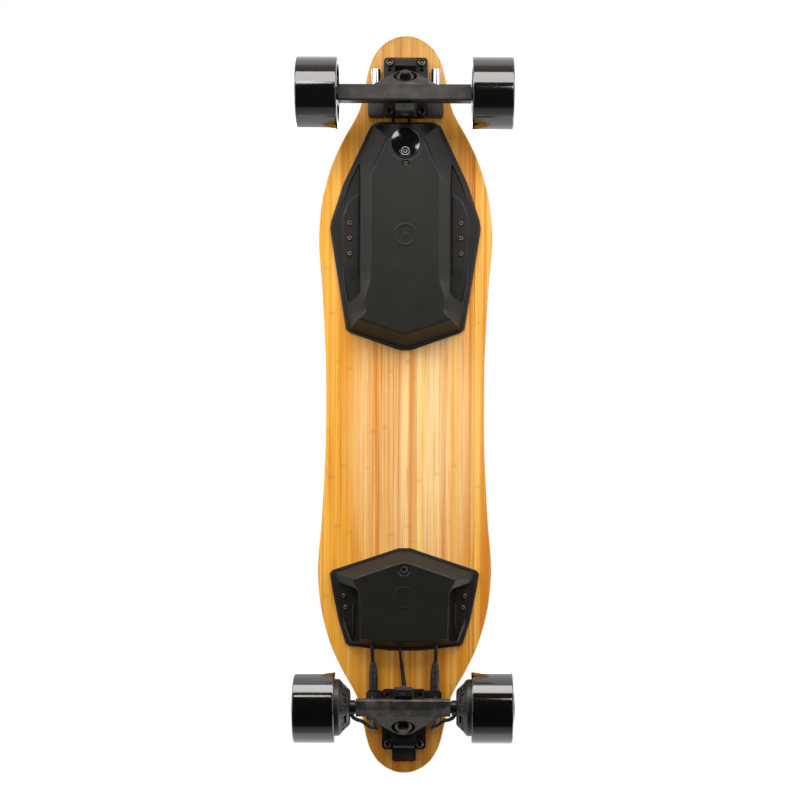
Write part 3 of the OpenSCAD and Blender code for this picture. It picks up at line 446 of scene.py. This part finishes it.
RF = [(368.7, 34.6), (368.2, 37.5), (366.5, 41.5), (364, 45.0), (355, 49.4), (288.6, 80.4), (240, 96.4), (234, 97.7), (230.4, 97.9), (226, 97.5), (222, 96.8), (98, 76.8), (95, 75.6), (92.8, 71.6), (74.5, 16), (72.5, 9), (71.4, 4.5), (71.0, 0)]
RF = [(a, b_) for a, b_ in RF]
def closed(P): P = sorted(P); return [(x, y) for x, y in P] + [(x, -y) for x, y in reversed(P) if y > 0]
PF = closed(RF)
def batt(X, Y):
    A = np.abs(Y); full = seg_dist(X, A, sorted(RF, reverse=True), closed=False)
    lowm = step(150 - X, 26)
    bev = 4.6 + np.maximum(full - 4.4, 0)*(1.06 + 0.95*step(112 - X, 9))
    top = 4.6 + np.maximum(369.2 - X - 2.0, 0)*3.4
    y0 = np.interp(X, [86, 104, 138, 158, 168, 322, 346, 358, 369], [62, 60, 50, 44, 43, 43, 30, 26.5, 25])
    m = np.interp(X, [100, 160, 320, 350, 369], [0.95, 0.72, 0.72, 1.05, 1.1])
    side = 32 - np.maximum(A - y0, 0)*m
    H = smin(np.full_like(X, 32.0), bev, 3.2); H = smin(H, side, 2.6); H = smin(H, top, 3.0); H = np.minimum(H + 0.75, 32.0)
    PK = [(312, 60.5), (301, 66.2), (289, 72.2), (246, 87.2), (236, 89.4), (227, 89.0), (140, 75.2), (132.5, 73.6), (133.0, 70.5), (141, 62.0), (144, 60.5)]
    sd = sdist(X, A, PK)
    floor = 4.75 + 8.2*step(-sd - 0.0, 1.3)*0
    cut = np.where(sd > 0, 4.75, 99) ; cutd = 4.75 + np.maximum(-sd, 0)*7
    inner = smin(H, cutd, 1.4); 
    # shallow raised pad round the screws and its step
    PAD = [(274, 58), (271, 66), (262, 75), (244, 81.5), (230, 82.5), (200, 80.5), (160, 74.0), (146, 71.0), (146, 58)]
    pad = 1.1*step(sdist(X, A, PAD), 1.2)*step(sd - 1.0, 1.0)*0.45
    H2 = inner + 0.9*step(sdist(X, A, PAD), 0.7)*step(sd - 0.6, 0.5)*step(X - 168, 14)
    ringd = np.abs(np.hypot(X-217, Y) - 13.3); H2 = H2 + 0.42*np.exp(-(ringd/0.8)**2) + 0.5*np.exp(-(np.hypot(X-217, Y)/1.4)**2)
    H2 = H2 - 0.9*np.exp(-((np.hypot(X-335.5, Y) - 21.0)/0.9)**2)*0.5
    hole = np.hypot(X-308.3, Y); H2 = H2 - 3.0*step(4.3 - hole, 0.7)
    return np.maximum(H2, 4.5)
bshell = shell("battery_shell", RF, batt, "case", 340, 250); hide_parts("battery_enclosure")

RR = [(-188.0, 0), (-188.3, 6), (-190, 13.5), (-193, 22), (-216.4, 91), (-218.2, 95), (-220.5, 97.0), (-224, 97.0), (-244.2, 93.4), (-264, 90), (-282.2, 85.4), (-310, 76.6), (-314.5, 74.4), (-317, 70), (-320, 42), (-322, 16), (-322.4, 0)]
def ctrl(X, Y):
    A = np.abs(Y); full = seg_dist(X, A, sorted(RR), closed=False)
    bev = 4.6 + np.maximum(full - 4.2, 0)*(1.5 + 0.9*step(-300 - X, 8))
    y0 = np.interp(X, [-322, -309, -244, -228, -200], [56, 56.5, 57.5, 66, 70]); side = 27 - np.maximum(A-y0, 0)*1.0
    H = smin(np.full_like(X, 27.0), bev, 2.8); H = smin(H, side, 2.4); H = np.minimum(H + 0.7, 27.0)
    PK = [(-232, 89.5), (-233, 86), (-243, 63.5), (-247, 61.2), (-306, 59.8), (-309.5, 60), (-309.5, 67), (-303, 69.5), (-282, 78.0), (-262, 84.0), (-243, 88.4)]
    sd = sdist(X, A, PK); H = smin(H, 4.75 + np.maximum(-sd, 0)*7, 1.4)
    # long rib in each pocket
    H = H + 2.2*np.exp(-((A-66.0)/0.9)**2)*step(sd-1.5, 1.0)*step(-262 - X, 4)*step(X+303, 4)*0.6
    rd = np.abs(np.hypot(X+252, Y) - 13.3); H = H + 0.4*np.exp(-(rd/0.8)**2)
    r0 = np.hypot(X+216, Y); H = H - 1.6*step(7.6 - r0, 0.6)
    return np.maximum(H, 4.5)
cshell = shell("controller_shell", RR, ctrl, "case", 260, 240, c=-252.0, q=0.965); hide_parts("controller_enclosure")

# ------------------------------------------------------------------ wheels
AX = 0.389; AZ = 0.045
def tyre_profile(inner, w, recess):
    R = 45; p = []
    if recess:
        p += [(24, 12.5), (30, 9.5), (34.5, 5.0), (36.6, 1.4)] + arc(38.2, 1.6, 1.6, 180+10, 270, 4)
    else:
        p += [(36.05, 0.6), (36.6, 0.0)]
    p += [(40.6, 0.0)] + arc(R-2.0, 2.0, 2.0, -90, 0, 8)[1:]
    p += [(R, 3.2), (R, 8)]
    p += [(R, w/2)]
    q = [(r, w-y) for r, y in reversed(p[:-1])]
    if recess: q[-1] = (24, w-14)
    return p + q
for sd, s in (("left", 1), ("right", -1)):
    ft = lathe(f"front_{sd}_urethane", tyre_profile(24, 52, True), (AX, s*0.085, AZ), s, "tyre", f"front_{sd}_wheel"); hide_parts(f"front_{sd}_tyre")
    rt = lathe(f"rear_{sd}_urethane", tyre_profile(36, 52, False), (-AX, s*0.086, AZ), s, "tyre", f"rear_{sd}_wheel"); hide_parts(f"rear_{sd}_tyre")
    vs = []

# power symbol on the button: two rings, a generic mark
def flat_ring(name, c, z, ro, ri, mat, body, h=0.12, gap=0.0):
    vs, fs = [], []; seg = 64; g = math.radians(gap)
    n = seg + (1 if gap else 0)
    for i in range(n):
        a = g/2 + (2*math.pi - g)*i/seg
        for r, dz in ((ro, 0), (ro, -h), (ri, -h), (ri, 0)): vs.append(((c[0]+r*math.cos(a))*MM, (c[1]+r*math.sin(a))*MM, (z+dz)*MM))
    for i in range(seg):
        a, b_ = i*4, ((i+1) % n)*4
        for k in range(4): fs.append((a+k, a+(k+1) % 4, b_+(k+1) % 4, b_+k))
    if gap: fs += [(0, 1, 2, 3), (seg*4+3, seg*4+2, seg*4+1, seg*4)]
    return mesh_obj(name, vs, fs, mat, body, True)
bzc = 81.6
r1 = flat_ring("button_ring_print", (324.6, 0), bzc, 5.4, 4.6, "icon", "power_button")
r2 = flat_ring("button_mark_print", (324.6, 0), bzc, 2.6, 1.7, "icon", "power_button", gap=50)


# ------------------------------------------------------------------ cables, plugs, fixings and lenses
def sleeve(name, pts, rfun, mat, body, seg=20, per=10, ribs=None):
    def r(t):
        v = rfun(t)
        if ribs:
            a, b_, n, amp = ribs
            if a < t < b_: v -= amp*(0.5 + 0.5*math.cos(2*math.pi*n*(t-a)/(b_-a)))
        return v
    return tube(name, pts, r, mat, body, seg, per)
def lerp(t, xs, ys): return float(np.interp(t, xs, ys))

for s, sd in ((1, "left"), (-1, "right")):
    o = sleeve(f"motor_plug_{sd}", [(-373.6, s*40, 108.6), (-366, s*40, 108.6), (-358, s*40, 108.7), (-350, s*40.2, 108.9), (-342, s*40.6, 109.2), (-336.5, s*41, 109.2), (-330, s*41.4, 108.6), (-322, s*41.6, 107.5), (-307, s*41.6, 107.1)],
        lambda t: lerp(t, [0, .30, .31, .40, .42, .53, .56, .575, .60, 1], [6.2, 6.0, 5.5, 5.3, 4.9, 4.2, 3.9, 3.6, 2.6, 2.5]), "cable", "board", 28, 16, (0.03, 0.29, 7, 0.45))
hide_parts("motor_cable_plugs")
o = sleeve("tail_cable_run", [(-306, -6, 107), (-318, -5.6, 107.2), (-330, -4.6, 108.6), (-345, -2.6, 110.6), (-356, -1.2, 110.6), (-366, -0.2, 109.6), (-375.5, 0, 109)],
    lambda t: lerp(t, [0, .42, .46, .9, 1], [1.7, 1.8, 2.5, 3.0, 2.0]), "cable", "board", 20, 14, (0.5, 0.88, 9, 0.25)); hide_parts("tail_light_cable")
for i, y in enumerate((-16.5, 4.5)):
    sleeve(f"headlight_lead_{i+1}", [(381.5, y, 109), (377.5, y, 109), (373.8, y, 109.2), (371.3, y, 111.4), (369.8, y, 113)], lambda t: lerp(t, [0, .55, .62, 1], [1.6, 1.6, 1.9, 1.9]), "cable", "board", 16, 8)
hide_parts("headlight_cables")
LM = [(-382, 40, 101), (-383.5, 41.5, 96.5), (-397, 47, 84), (-411, 42, 74), (-417, 38, 64), (-414, 43, 55), (-406.5, 52, 48.5), (-404.4, 58.5, 45.5), (-401.4, 63.4, 44.8), (-395.5, 66.4, 45.0)]
RM = [(-382, -40, 101), (-383.5, -41, 96.5), (-399, -44, 84), (-414, -39, 74), (-419, -36, 64), (-416, -42, 55), (-407.5, -51.5, 48.5), (-404.6, -58.5, 45.5), (-401.4, -63.4, 44.8), (-395.5, -66.4, 45.0)]
for sd, P in (("left", LM), ("right", RM)):
    o = sleeve(f"motor_lead_{sd}", P, lambda t: 2.4, "cable", None, 20, 12)
    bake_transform(o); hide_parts(f"{sd}_motor_cable")

def rings(name, c, prof, mat, body, seg=48, hexpts=(), axis=(0, 0, 1), xdir=None):
    """Closed profile [(r, h)] turned about the axis at c; profile points whose index is in hexpts are drawn hexagonal."""
    A = Vector(axis).normalized(); U = (Vector(xdir) if xdir else (Vector((1, 0, 0)) if abs(A.z) > 0.6 else Vector((0, 1, 0))))
    U = (U - A*U.dot(A)).normalized(); W = A.cross(U); C = Vector(c)*MM; n = len(prof); vs, fs = [], []
    for i in range(seg):
        a = 2*math.pi*i/seg; hx = math.cos(math.pi/6)/math.cos((a % (math.pi/3)) - math.pi/6)
        for j, (r, h) in enumerate(prof):
            rr = r*(hx if j in hexpts else 1)
            vs.append(C + A*h*MM + (U*math.cos(a) + W*math.sin(a))*rr*MM)
    for i in range(seg):
        for j in range(n):
            k = (i+1) % seg; fs.append((i*n+j, i*n+(j+1) % n, k*n+(j+1) % n, k*n+j))
    o = mesh_obj(name, vs, fs, mat, body); smooth_by_angle(o, 32); return o
def join(objs, name):
    bm = bmesh.new()
    for o in objs: bm.from_mesh(o.data)
    me = objs[0].data; bm.to_mesh(me); bm.free(); objs[0].name = name
    for o in objs[1:]: bpy.data.objects.remove(o, do_unlink=True)
    return objs[0]
bl, nl = [], []
BOLTS = [(e*(389 + 21 + a*31.75), b*20.65) for e in (1, -1) for a in (-1, 1) for b in (-1, 1)]
for i, (x, y) in enumerate(BOLTS):
    bl.append(rings(f"b{i}", (x, y, 0), [(1e-3, 93.6), (1.5, 93.6), (2.3, 94.2), (2.45, 94.6), (2.45, 123.9), (4.8, 123.9), (4.8, 128.0), (4.5, 128.35), (1.9, 128.35), (1.9, 126.4), (1e-3, 126.4)], "bolt", None, 36, (8, 9)))
    nl.append(rings(f"n{i}", (x, y, 0), [(2.55, 96.8), (2.55, 93.4), (2.9, 91.9), (4.1, 91.6), (4.55, 92.3), (4.6, 93.0), (4.6, 96.8)], "bolt", None, 36, (5, 6)))
for L, nm, node in ((bl, "deck_bolts", "truck_bolts"), (nl, "deck_bolt_nuts", "truck_bolt_nuts")):
    o = join(L, nm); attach(o, "board"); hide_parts(node)
scr = []
for i, (x, y) in enumerate([(x, y) for y in (-72.5, 72.5) for x in (196, 216, 236)] + [(-250.5, s*79) for s in (1, -1)] + [(-265.5, s*76.5) for s in (1, -1)]):
    scr.append(rings(f"s{i}", (x, y, 0), [(1e-3, 110.0), (1.4, 110.0), (1.4, 107.9), (2.0, 107.6), (2.8, 108.0), (3.0, 108.7), (3.0, 110.6), (1.5, 110.6), (1.5, 121), (1e-3, 121)], "screw", None, 30, (1, 2)))
o = join(scr, "case_screws"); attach(o, "board"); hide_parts("enclosure_screws")

# tail light: a clear red strip that wraps from the tail face onto the underside
def rbox(name, lo, hi, r, mat, body, seg=3):
    bm = bmesh.new(); bmesh.ops.create_cube(bm, size=1.0)
    for v in bm.verts:
        v.co = Vector([(lo[k] + (v.co[k]+0.5)*(hi[k]-lo[k]))*MM for k in range(3)])
    bmesh.ops.bevel(bm, geom=list(bm.edges), offset=r*MM, segments=seg, profile=0.5, affect="EDGES")
    me = bpy.data.meshes.new(name); bm.to_mesh(me); bm.free(); o = bpy.data.objects.new(name, me); sc.collection.objects.link(o)
    me.materials.append(M[mat]); smooth_by_angle(o, 35)
    if body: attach(o, body)
    return o
o = rbox("tail_lens_strip", (-465.9, -12.4, 104.55), (-462.2, 12.4, 113.2), 0.6, "red", "board"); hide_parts("tail_light_lens")


# ------------------------------------------------------------------ domed gloss panel with a hole for the button; charge socket with its hexagonal ring
def panel(name, c, R, hole, rh, z_edge, z_back, dome):
    segs, rad = 96, 12; vs, fs = [], []
    for i in range(segs):
        a = 2*math.pi*i/segs; ux, uy = math.cos(a), math.sin(a); dx = hole[0]-c[0]; dy = hole[1]-c[1]
        b_ = dx*ux + dy*uy; RR_ = -b_ + math.sqrt(b_*b_ - (dx*dx + dy*dy) + (R-0.5)**2); RO = -b_ + math.sqrt(b_*b_ - (dx*dx + dy*dy) + R*R)
        col = [(rh, z_back)]
        for k in range(rad+1):
            f = k/rad; r = rh + 0.35*(1 if k else 0) + (RR_-rh-0.35*(1 if k else 0))*f
            col.append((r, None))
        col += [(RO, z_edge+0.5), (RO, z_back)]
        for r, z in col:
            x, y = hole[0]+r*ux, hole[1]+r*uy
            if z is None: z = z_edge - dome*(1 - min(1, ((x-c[0])**2 + (y-c[1])**2)/R**2)) + (0.3 if r == rh else 0)
            vs.append((x*MM, y*MM, z*MM))
        m = len(col)
    for i in range(segs):
        for j in range(m):
            k = (i+1) % segs; fs.append((i*m+j, i*m+(j+1) % m, k*m+(j+1) % m, k*m+j))
    o = mesh_obj(name, vs, fs, "gloss", "board"); smooth_by_angle(o, 35); return o
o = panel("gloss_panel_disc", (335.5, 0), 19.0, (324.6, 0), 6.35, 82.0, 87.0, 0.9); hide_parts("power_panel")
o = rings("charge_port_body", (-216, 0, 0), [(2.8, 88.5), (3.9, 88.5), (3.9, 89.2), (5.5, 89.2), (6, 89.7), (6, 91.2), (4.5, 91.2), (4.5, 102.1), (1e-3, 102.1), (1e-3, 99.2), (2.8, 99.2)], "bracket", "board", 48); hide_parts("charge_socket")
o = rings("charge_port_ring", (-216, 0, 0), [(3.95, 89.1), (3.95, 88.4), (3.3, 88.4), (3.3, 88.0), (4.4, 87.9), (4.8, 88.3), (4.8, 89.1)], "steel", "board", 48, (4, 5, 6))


# ------------------------------------------------------------------ bushings: a deck-side and a road-side ring on each truck, turned about the kingpin axis tilted 45 degrees
for e, nm in ((1, "front"), (-1, "rear")):
    B = Vector((e*407, 0, 76)); A = Vector((e*math.sqrt(0.5), 0, -math.sqrt(0.5)))
    hi = rings(nm + "_bushing_deckside", B, [(4.9, -17.8), (13.4, -17.8), (14.2, -17.0), (14.2, -13.5), (14.0, -12.0), (14.1, -10.4), (14.2, -9.4), (13.9, -7.4), (13.5, -5.2), (12.9, -4.4), (7.0, -4.4), (7.0, -10), (6.4, -12.5), (5.7, -15)], "bushing", None, 64, (), A)
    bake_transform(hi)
    lo_ = rings(nm + "_bushing_roadside", B, [(12.3, 4.3), (13.0, 5.0), (12.6, 6.6), (11.6, 9.0), (10.6, 11.0), (10.0, 11.5), (4.9, 11.5), (5.5, 10), (6.4, 8.2), (6.9, 6.5), (6.9, 4.3)], "bushing", None, 64, (), A)
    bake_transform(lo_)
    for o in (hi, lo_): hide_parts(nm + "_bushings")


# ------------------------------------------------------------------ wheel cores, motor shells and covers with their windows and spokes
def lathe_fn(name, pfun, centre, s, mat, body, seg=180):
    vs, fs = [], []; n = None
    for i in range(seg):
        a = 2*math.pi*i/seg; P = pfun(a); n = len(P)
        for r, y in P: vs.append((centre[0] + r*MM*math.cos(a), centre[1] + s*y*MM, centre[2] + r*MM*math.sin(a)))
    for i in range(seg):
        for j in range(n):
            k = (i+1) % seg; fs.append((i*n+j, i*n+(j+1) % n, k*n+(j+1) % n, k*n+j))
    o = mesh_obj(name, vs, fs, mat, body); smooth_by_angle(o, 34); return o
def win(a, n, half, soft=0.03, off=0.0):
    """1 inside each of n windows, 0 outside, with a short flank."""
    p = 2*math.pi/n; d = abs(((a - off + p/2) % p) - p/2)
    return min(1.0, max(0.0, (half - d)/soft + 0.5))
def motor_shell(a):
    w = win(a, 6, math.radians(13), 0.05); out = [(11.1, -18.0), (11.5, -18.5), (20.8, -18.6), (21.8, -18.3), (23.0, -17.3)]
    for r in (24.0, 25.2): out.append((r, -18.6 + (r-22)))
    for r, dd in ((25.6, 1), (25.9, 1), (28.5, 1), (31.0, 1), (31.3, 1)):
        out.append((r - (2.4*w if dd else 0)*0.7, -18.6 + (r-22) + 2.4*w*0.7))
    out += [(31.7, -8.9), (33.6, -7.0), (34.6, -6.3), (35.4, -5.2), (35.8, -4.2), (35.95, -2.6), (35.95, 0.5), (36, 0.6), (36, 50), (33.5, 50), (33.5, 6), (31.5, 2), (20, -8), (12.5, -8), (12.5, -10), (8.0, -10), (8.0, -11), (11.1, -11)]
    return out
def motor_face(a):
    w = win(a, 6, math.radians(19), 0.05, math.radians(30)); out = [(33.4, 50.05), (35.6, 50.3), (35.9, 50.8), (35.2, 51.3), (33.5, 51.4), (33.0, 51.0)]
    for r, z, d in ((32.2, 51.2, 0), (29.4, 52.2, 0), (29.0, 52.3, 1), (22.0, 53.6, 1), (16.4, 54.3, 1), (16.0, 54.35, 0), (13.6, 54.6, 0)): out.append((r, z - 1.2*w*d))
    out += [(13.2, 54.2), (12.8, 54.2), (12.4, 54.8), (6, 55.0), (0.002, 55.0), (0.002, 50.5), (9.55, 50.5), (9.55, 40.5), (12, 40.5), (12, 47), (33.4, 47)]
    return out
def front_core(a):
    w = win(a, 6, math.radians(21), 0.06)
    return [(11.05, 12.4), (11.6, 12.0), (13.2, 12.0), (14.2, 12.05), (14.6, 12.1 + 5*w), (22.0, 12.1 + 5*w), (22.4, 12.05), (24.0, 12.0), (24.0, 38.0), (22.4, 38.0), (22.0, 38.0 - 5*w), (14.6, 38.0 - 5*w), (14.2, 38.0), (13.2, 38.0), (11.6, 37.9),
            (11.05, 37.6), (11.05, 30.6), (9.2, 30.6), (9.2, 20.4), (11.05, 20.4)]
for sd, s in (("left", 1), ("right", -1)):
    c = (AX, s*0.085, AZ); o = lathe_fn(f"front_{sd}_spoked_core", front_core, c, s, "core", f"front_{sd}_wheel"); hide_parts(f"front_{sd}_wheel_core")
    c = (-AX, s*0.086, AZ); b_ = f"rear_{sd}_wheel"
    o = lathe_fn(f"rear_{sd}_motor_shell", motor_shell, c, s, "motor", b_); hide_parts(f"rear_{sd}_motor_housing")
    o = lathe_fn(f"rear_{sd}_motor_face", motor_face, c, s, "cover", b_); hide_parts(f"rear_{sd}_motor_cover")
    sc_ = []
    for i in range(6):
        a = math.radians(30 + 60*i); px, pz = -389 + 29.3*math.cos(a), 45 + 29.3*math.sin(a)
        n_ = Vector((math.cos(a), -s, math.sin(a))).normalized()
        sc_.append(rings(f"ms{i}", (px, s*(86 - 11.3), pz), [(1e-3, 0.2), (1.0, 0.2), (1.0, 1.0), (1.9, 1.0), (2.2, 0.7), (2.2, -1.2), (1e-3, -1.2)], "dark_steel", None, 20, (1, 2), n_))
        a = math.radians(60*i); px, pz = -389 + 30.9*math.cos(a), 45 + 30.9*math.sin(a)
        sc_.append(rings(f"mt{i}", (px, s*(86 + 51.6), pz), [(1e-3, -0.3), (0.9, -0.3), (0.9, 0.5), (1.5, 0.5), (1.7, 0.2), (1.7, -1.0), (1e-3, -1.0)], "dark_steel", None, 20, (1, 2), (0, s, 0)))
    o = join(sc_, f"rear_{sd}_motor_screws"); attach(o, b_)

for n, w in (("front_hanger", 0.0012), ("rear_hanger", 0.0012), ("front_baseplate", 0.0009), ("rear_baseplate", 0.0009), ("front_light_bracket", 0.0007),
             ("rear_cable_bracket", 0.0007), ("tail_light_housing", 0.0006), ("tail_light_lens", 0.0004)):
    bevel(n, w)

# ------------------------------------------------------------------ stage, light, camera
sc = bpy.context.scene
def floor_mat():
    m, nt, b, out = new_mat("stage_floor"); v = coord(nt)
    nt.links.new(mix(nt, noise(nt, v, 3, 3), (0.80, 0.80, 0.79), (0.84, 0.84, 0.83)), b.inputs["Base Color"]); b.inputs["Roughness"].default_value = 0.7
    g = nt.nodes.new("ShaderNodeNewGeometry"); tr = nt.nodes.new("ShaderNodeBsdfTransparent"); mx = nt.nodes.new("ShaderNodeMixShader")
    nt.links.new(g.outputs["Backfacing"], mx.inputs[0]); nt.links.new(b.outputs[0], mx.inputs[1]); nt.links.new(tr.outputs[0], mx.inputs[2]); nt.links.new(mx.outputs[0], out.inputs[0])
    return m
bm = bmesh.new(); bmesh.ops.create_grid(bm, x_segments=2, y_segments=2, size=6.0)
me = bpy.data.meshes.new("stage_floor"); bm.to_mesh(me); bm.free(); floor = bpy.data.objects.new("stage_floor", me); sc.collection.objects.link(floor)
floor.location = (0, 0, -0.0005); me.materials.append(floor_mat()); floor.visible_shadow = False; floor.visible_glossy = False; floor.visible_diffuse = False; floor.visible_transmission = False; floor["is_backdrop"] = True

w = bpy.data.worlds.new("studio"); sc.world = w; w.use_nodes = True; wt = w.node_tree
bg = wt.nodes["Background"]; bg.inputs[1].default_value = 1.0
wc = wt.nodes.new("ShaderNodeTexCoord"); wsep = wt.nodes.new("ShaderNodeSeparateXYZ"); wt.links.new(wc.outputs["Generated"], wsep.inputs[0])
# pale all round, falling off to a dark pit straight below, as the flags round a product table do
wr = ramp(wt, math_(wt, "MULTIPLY_ADD", wsep.outputs[2], 0.5, 0.5), [(0.0, (0.012, 0.011, 0.010)), (0.225, (0.03, 0.027, 0.024)), (0.262, (0.26, 0.235, 0.215)), (0.44, (0.50, 0.47, 0.45)), (0.495, (1, 1, 1))])
wt.links.new(wr, bg.inputs[0])
def area(name, loc, size, power, target=(0, 0, 0.1), sy=None, color=(1, 1, 1)):
    l = bpy.data.lights.new(name, "AREA"); l.shape = "RECTANGLE"; l.size = size; l.size_y = sy or size; l.energy = power; l.color = color
    o = bpy.data.objects.new(name, l); sc.collection.objects.link(o); o.location = loc
    o.rotation_euler = (Vector(target) - Vector(loc)).to_track_quat("-Z", "Y").to_euler(); o.visible_camera = False; return o
key = area("key_nose", (0.635, 0.0, -0.425), 2.4, 26, (0.0, 0, -0.54), 0.64, (1.0, 0.965, 0.93))
key.rotation_euler = Matrix(((0, -0.17, 0.985), (1, 0, 0), (0, 0.985, 0.17))).to_euler()
for nm, yy in (("left", 1.23), ("right", -1.23)):
    area("panel_" + nm, (0.15, yy, -1.03), 1.5, 5.5, (0.15, 0, 0.1), 1.5)
for nm, lp in (("a", (0.86, -0.26, -1.35)), ("b", (0.56, 0.29, -1.35))):
    sl_ = area("glint_" + nm, lp, 0.16, 0.55, (0.335, 0, 0.082), 0.16); sl_.visible_diffuse = False
fl = area("fill_below", (0.0, 0.0, -1.9), 1.6, 6, (0, 0, 0.1), 1.2); fl.visible_glossy = False
area("top_soft", (0.3, -0.6, 1.9), 1.6, 26, (0, 0, 0.1))
area("side_soft", (-1.0, 1.7, 1.0), 1.2, 14, (0, 0, 0.1))

cam = bpy.data.cameras.new("cam"); cam.sensor_width = 36; D = 2.2; cam.lens = 36*D/1.047
co = bpy.data.objects.new("cam", cam); sc.collection.objects.link(co)
XC, YC, ROLL = 432.0, 522.0, math.radians(0.18)
cx = (404.45 - YC)*1.309*MM; cy = (XC - 404.6)*1.309*MM
sr, cr_ = math.sin(ROLL), math.cos(ROLL)
co.matrix_world = Matrix(((sr, cr_, 0, cx), (cr_, -sr, 0, cy), (0, 0, -1, 0.115 - D), (0, 0, 0, 1)))
cam.shift_y = (YC - 400.0)/800.0; cam.shift_x = (400.0 - XC)/800.0
cam.clip_start = 0.05; cam.clip_end = 50
sc.camera = co
sc.view_settings.view_transform = "Standard"

bpy.context.view_layer.update()
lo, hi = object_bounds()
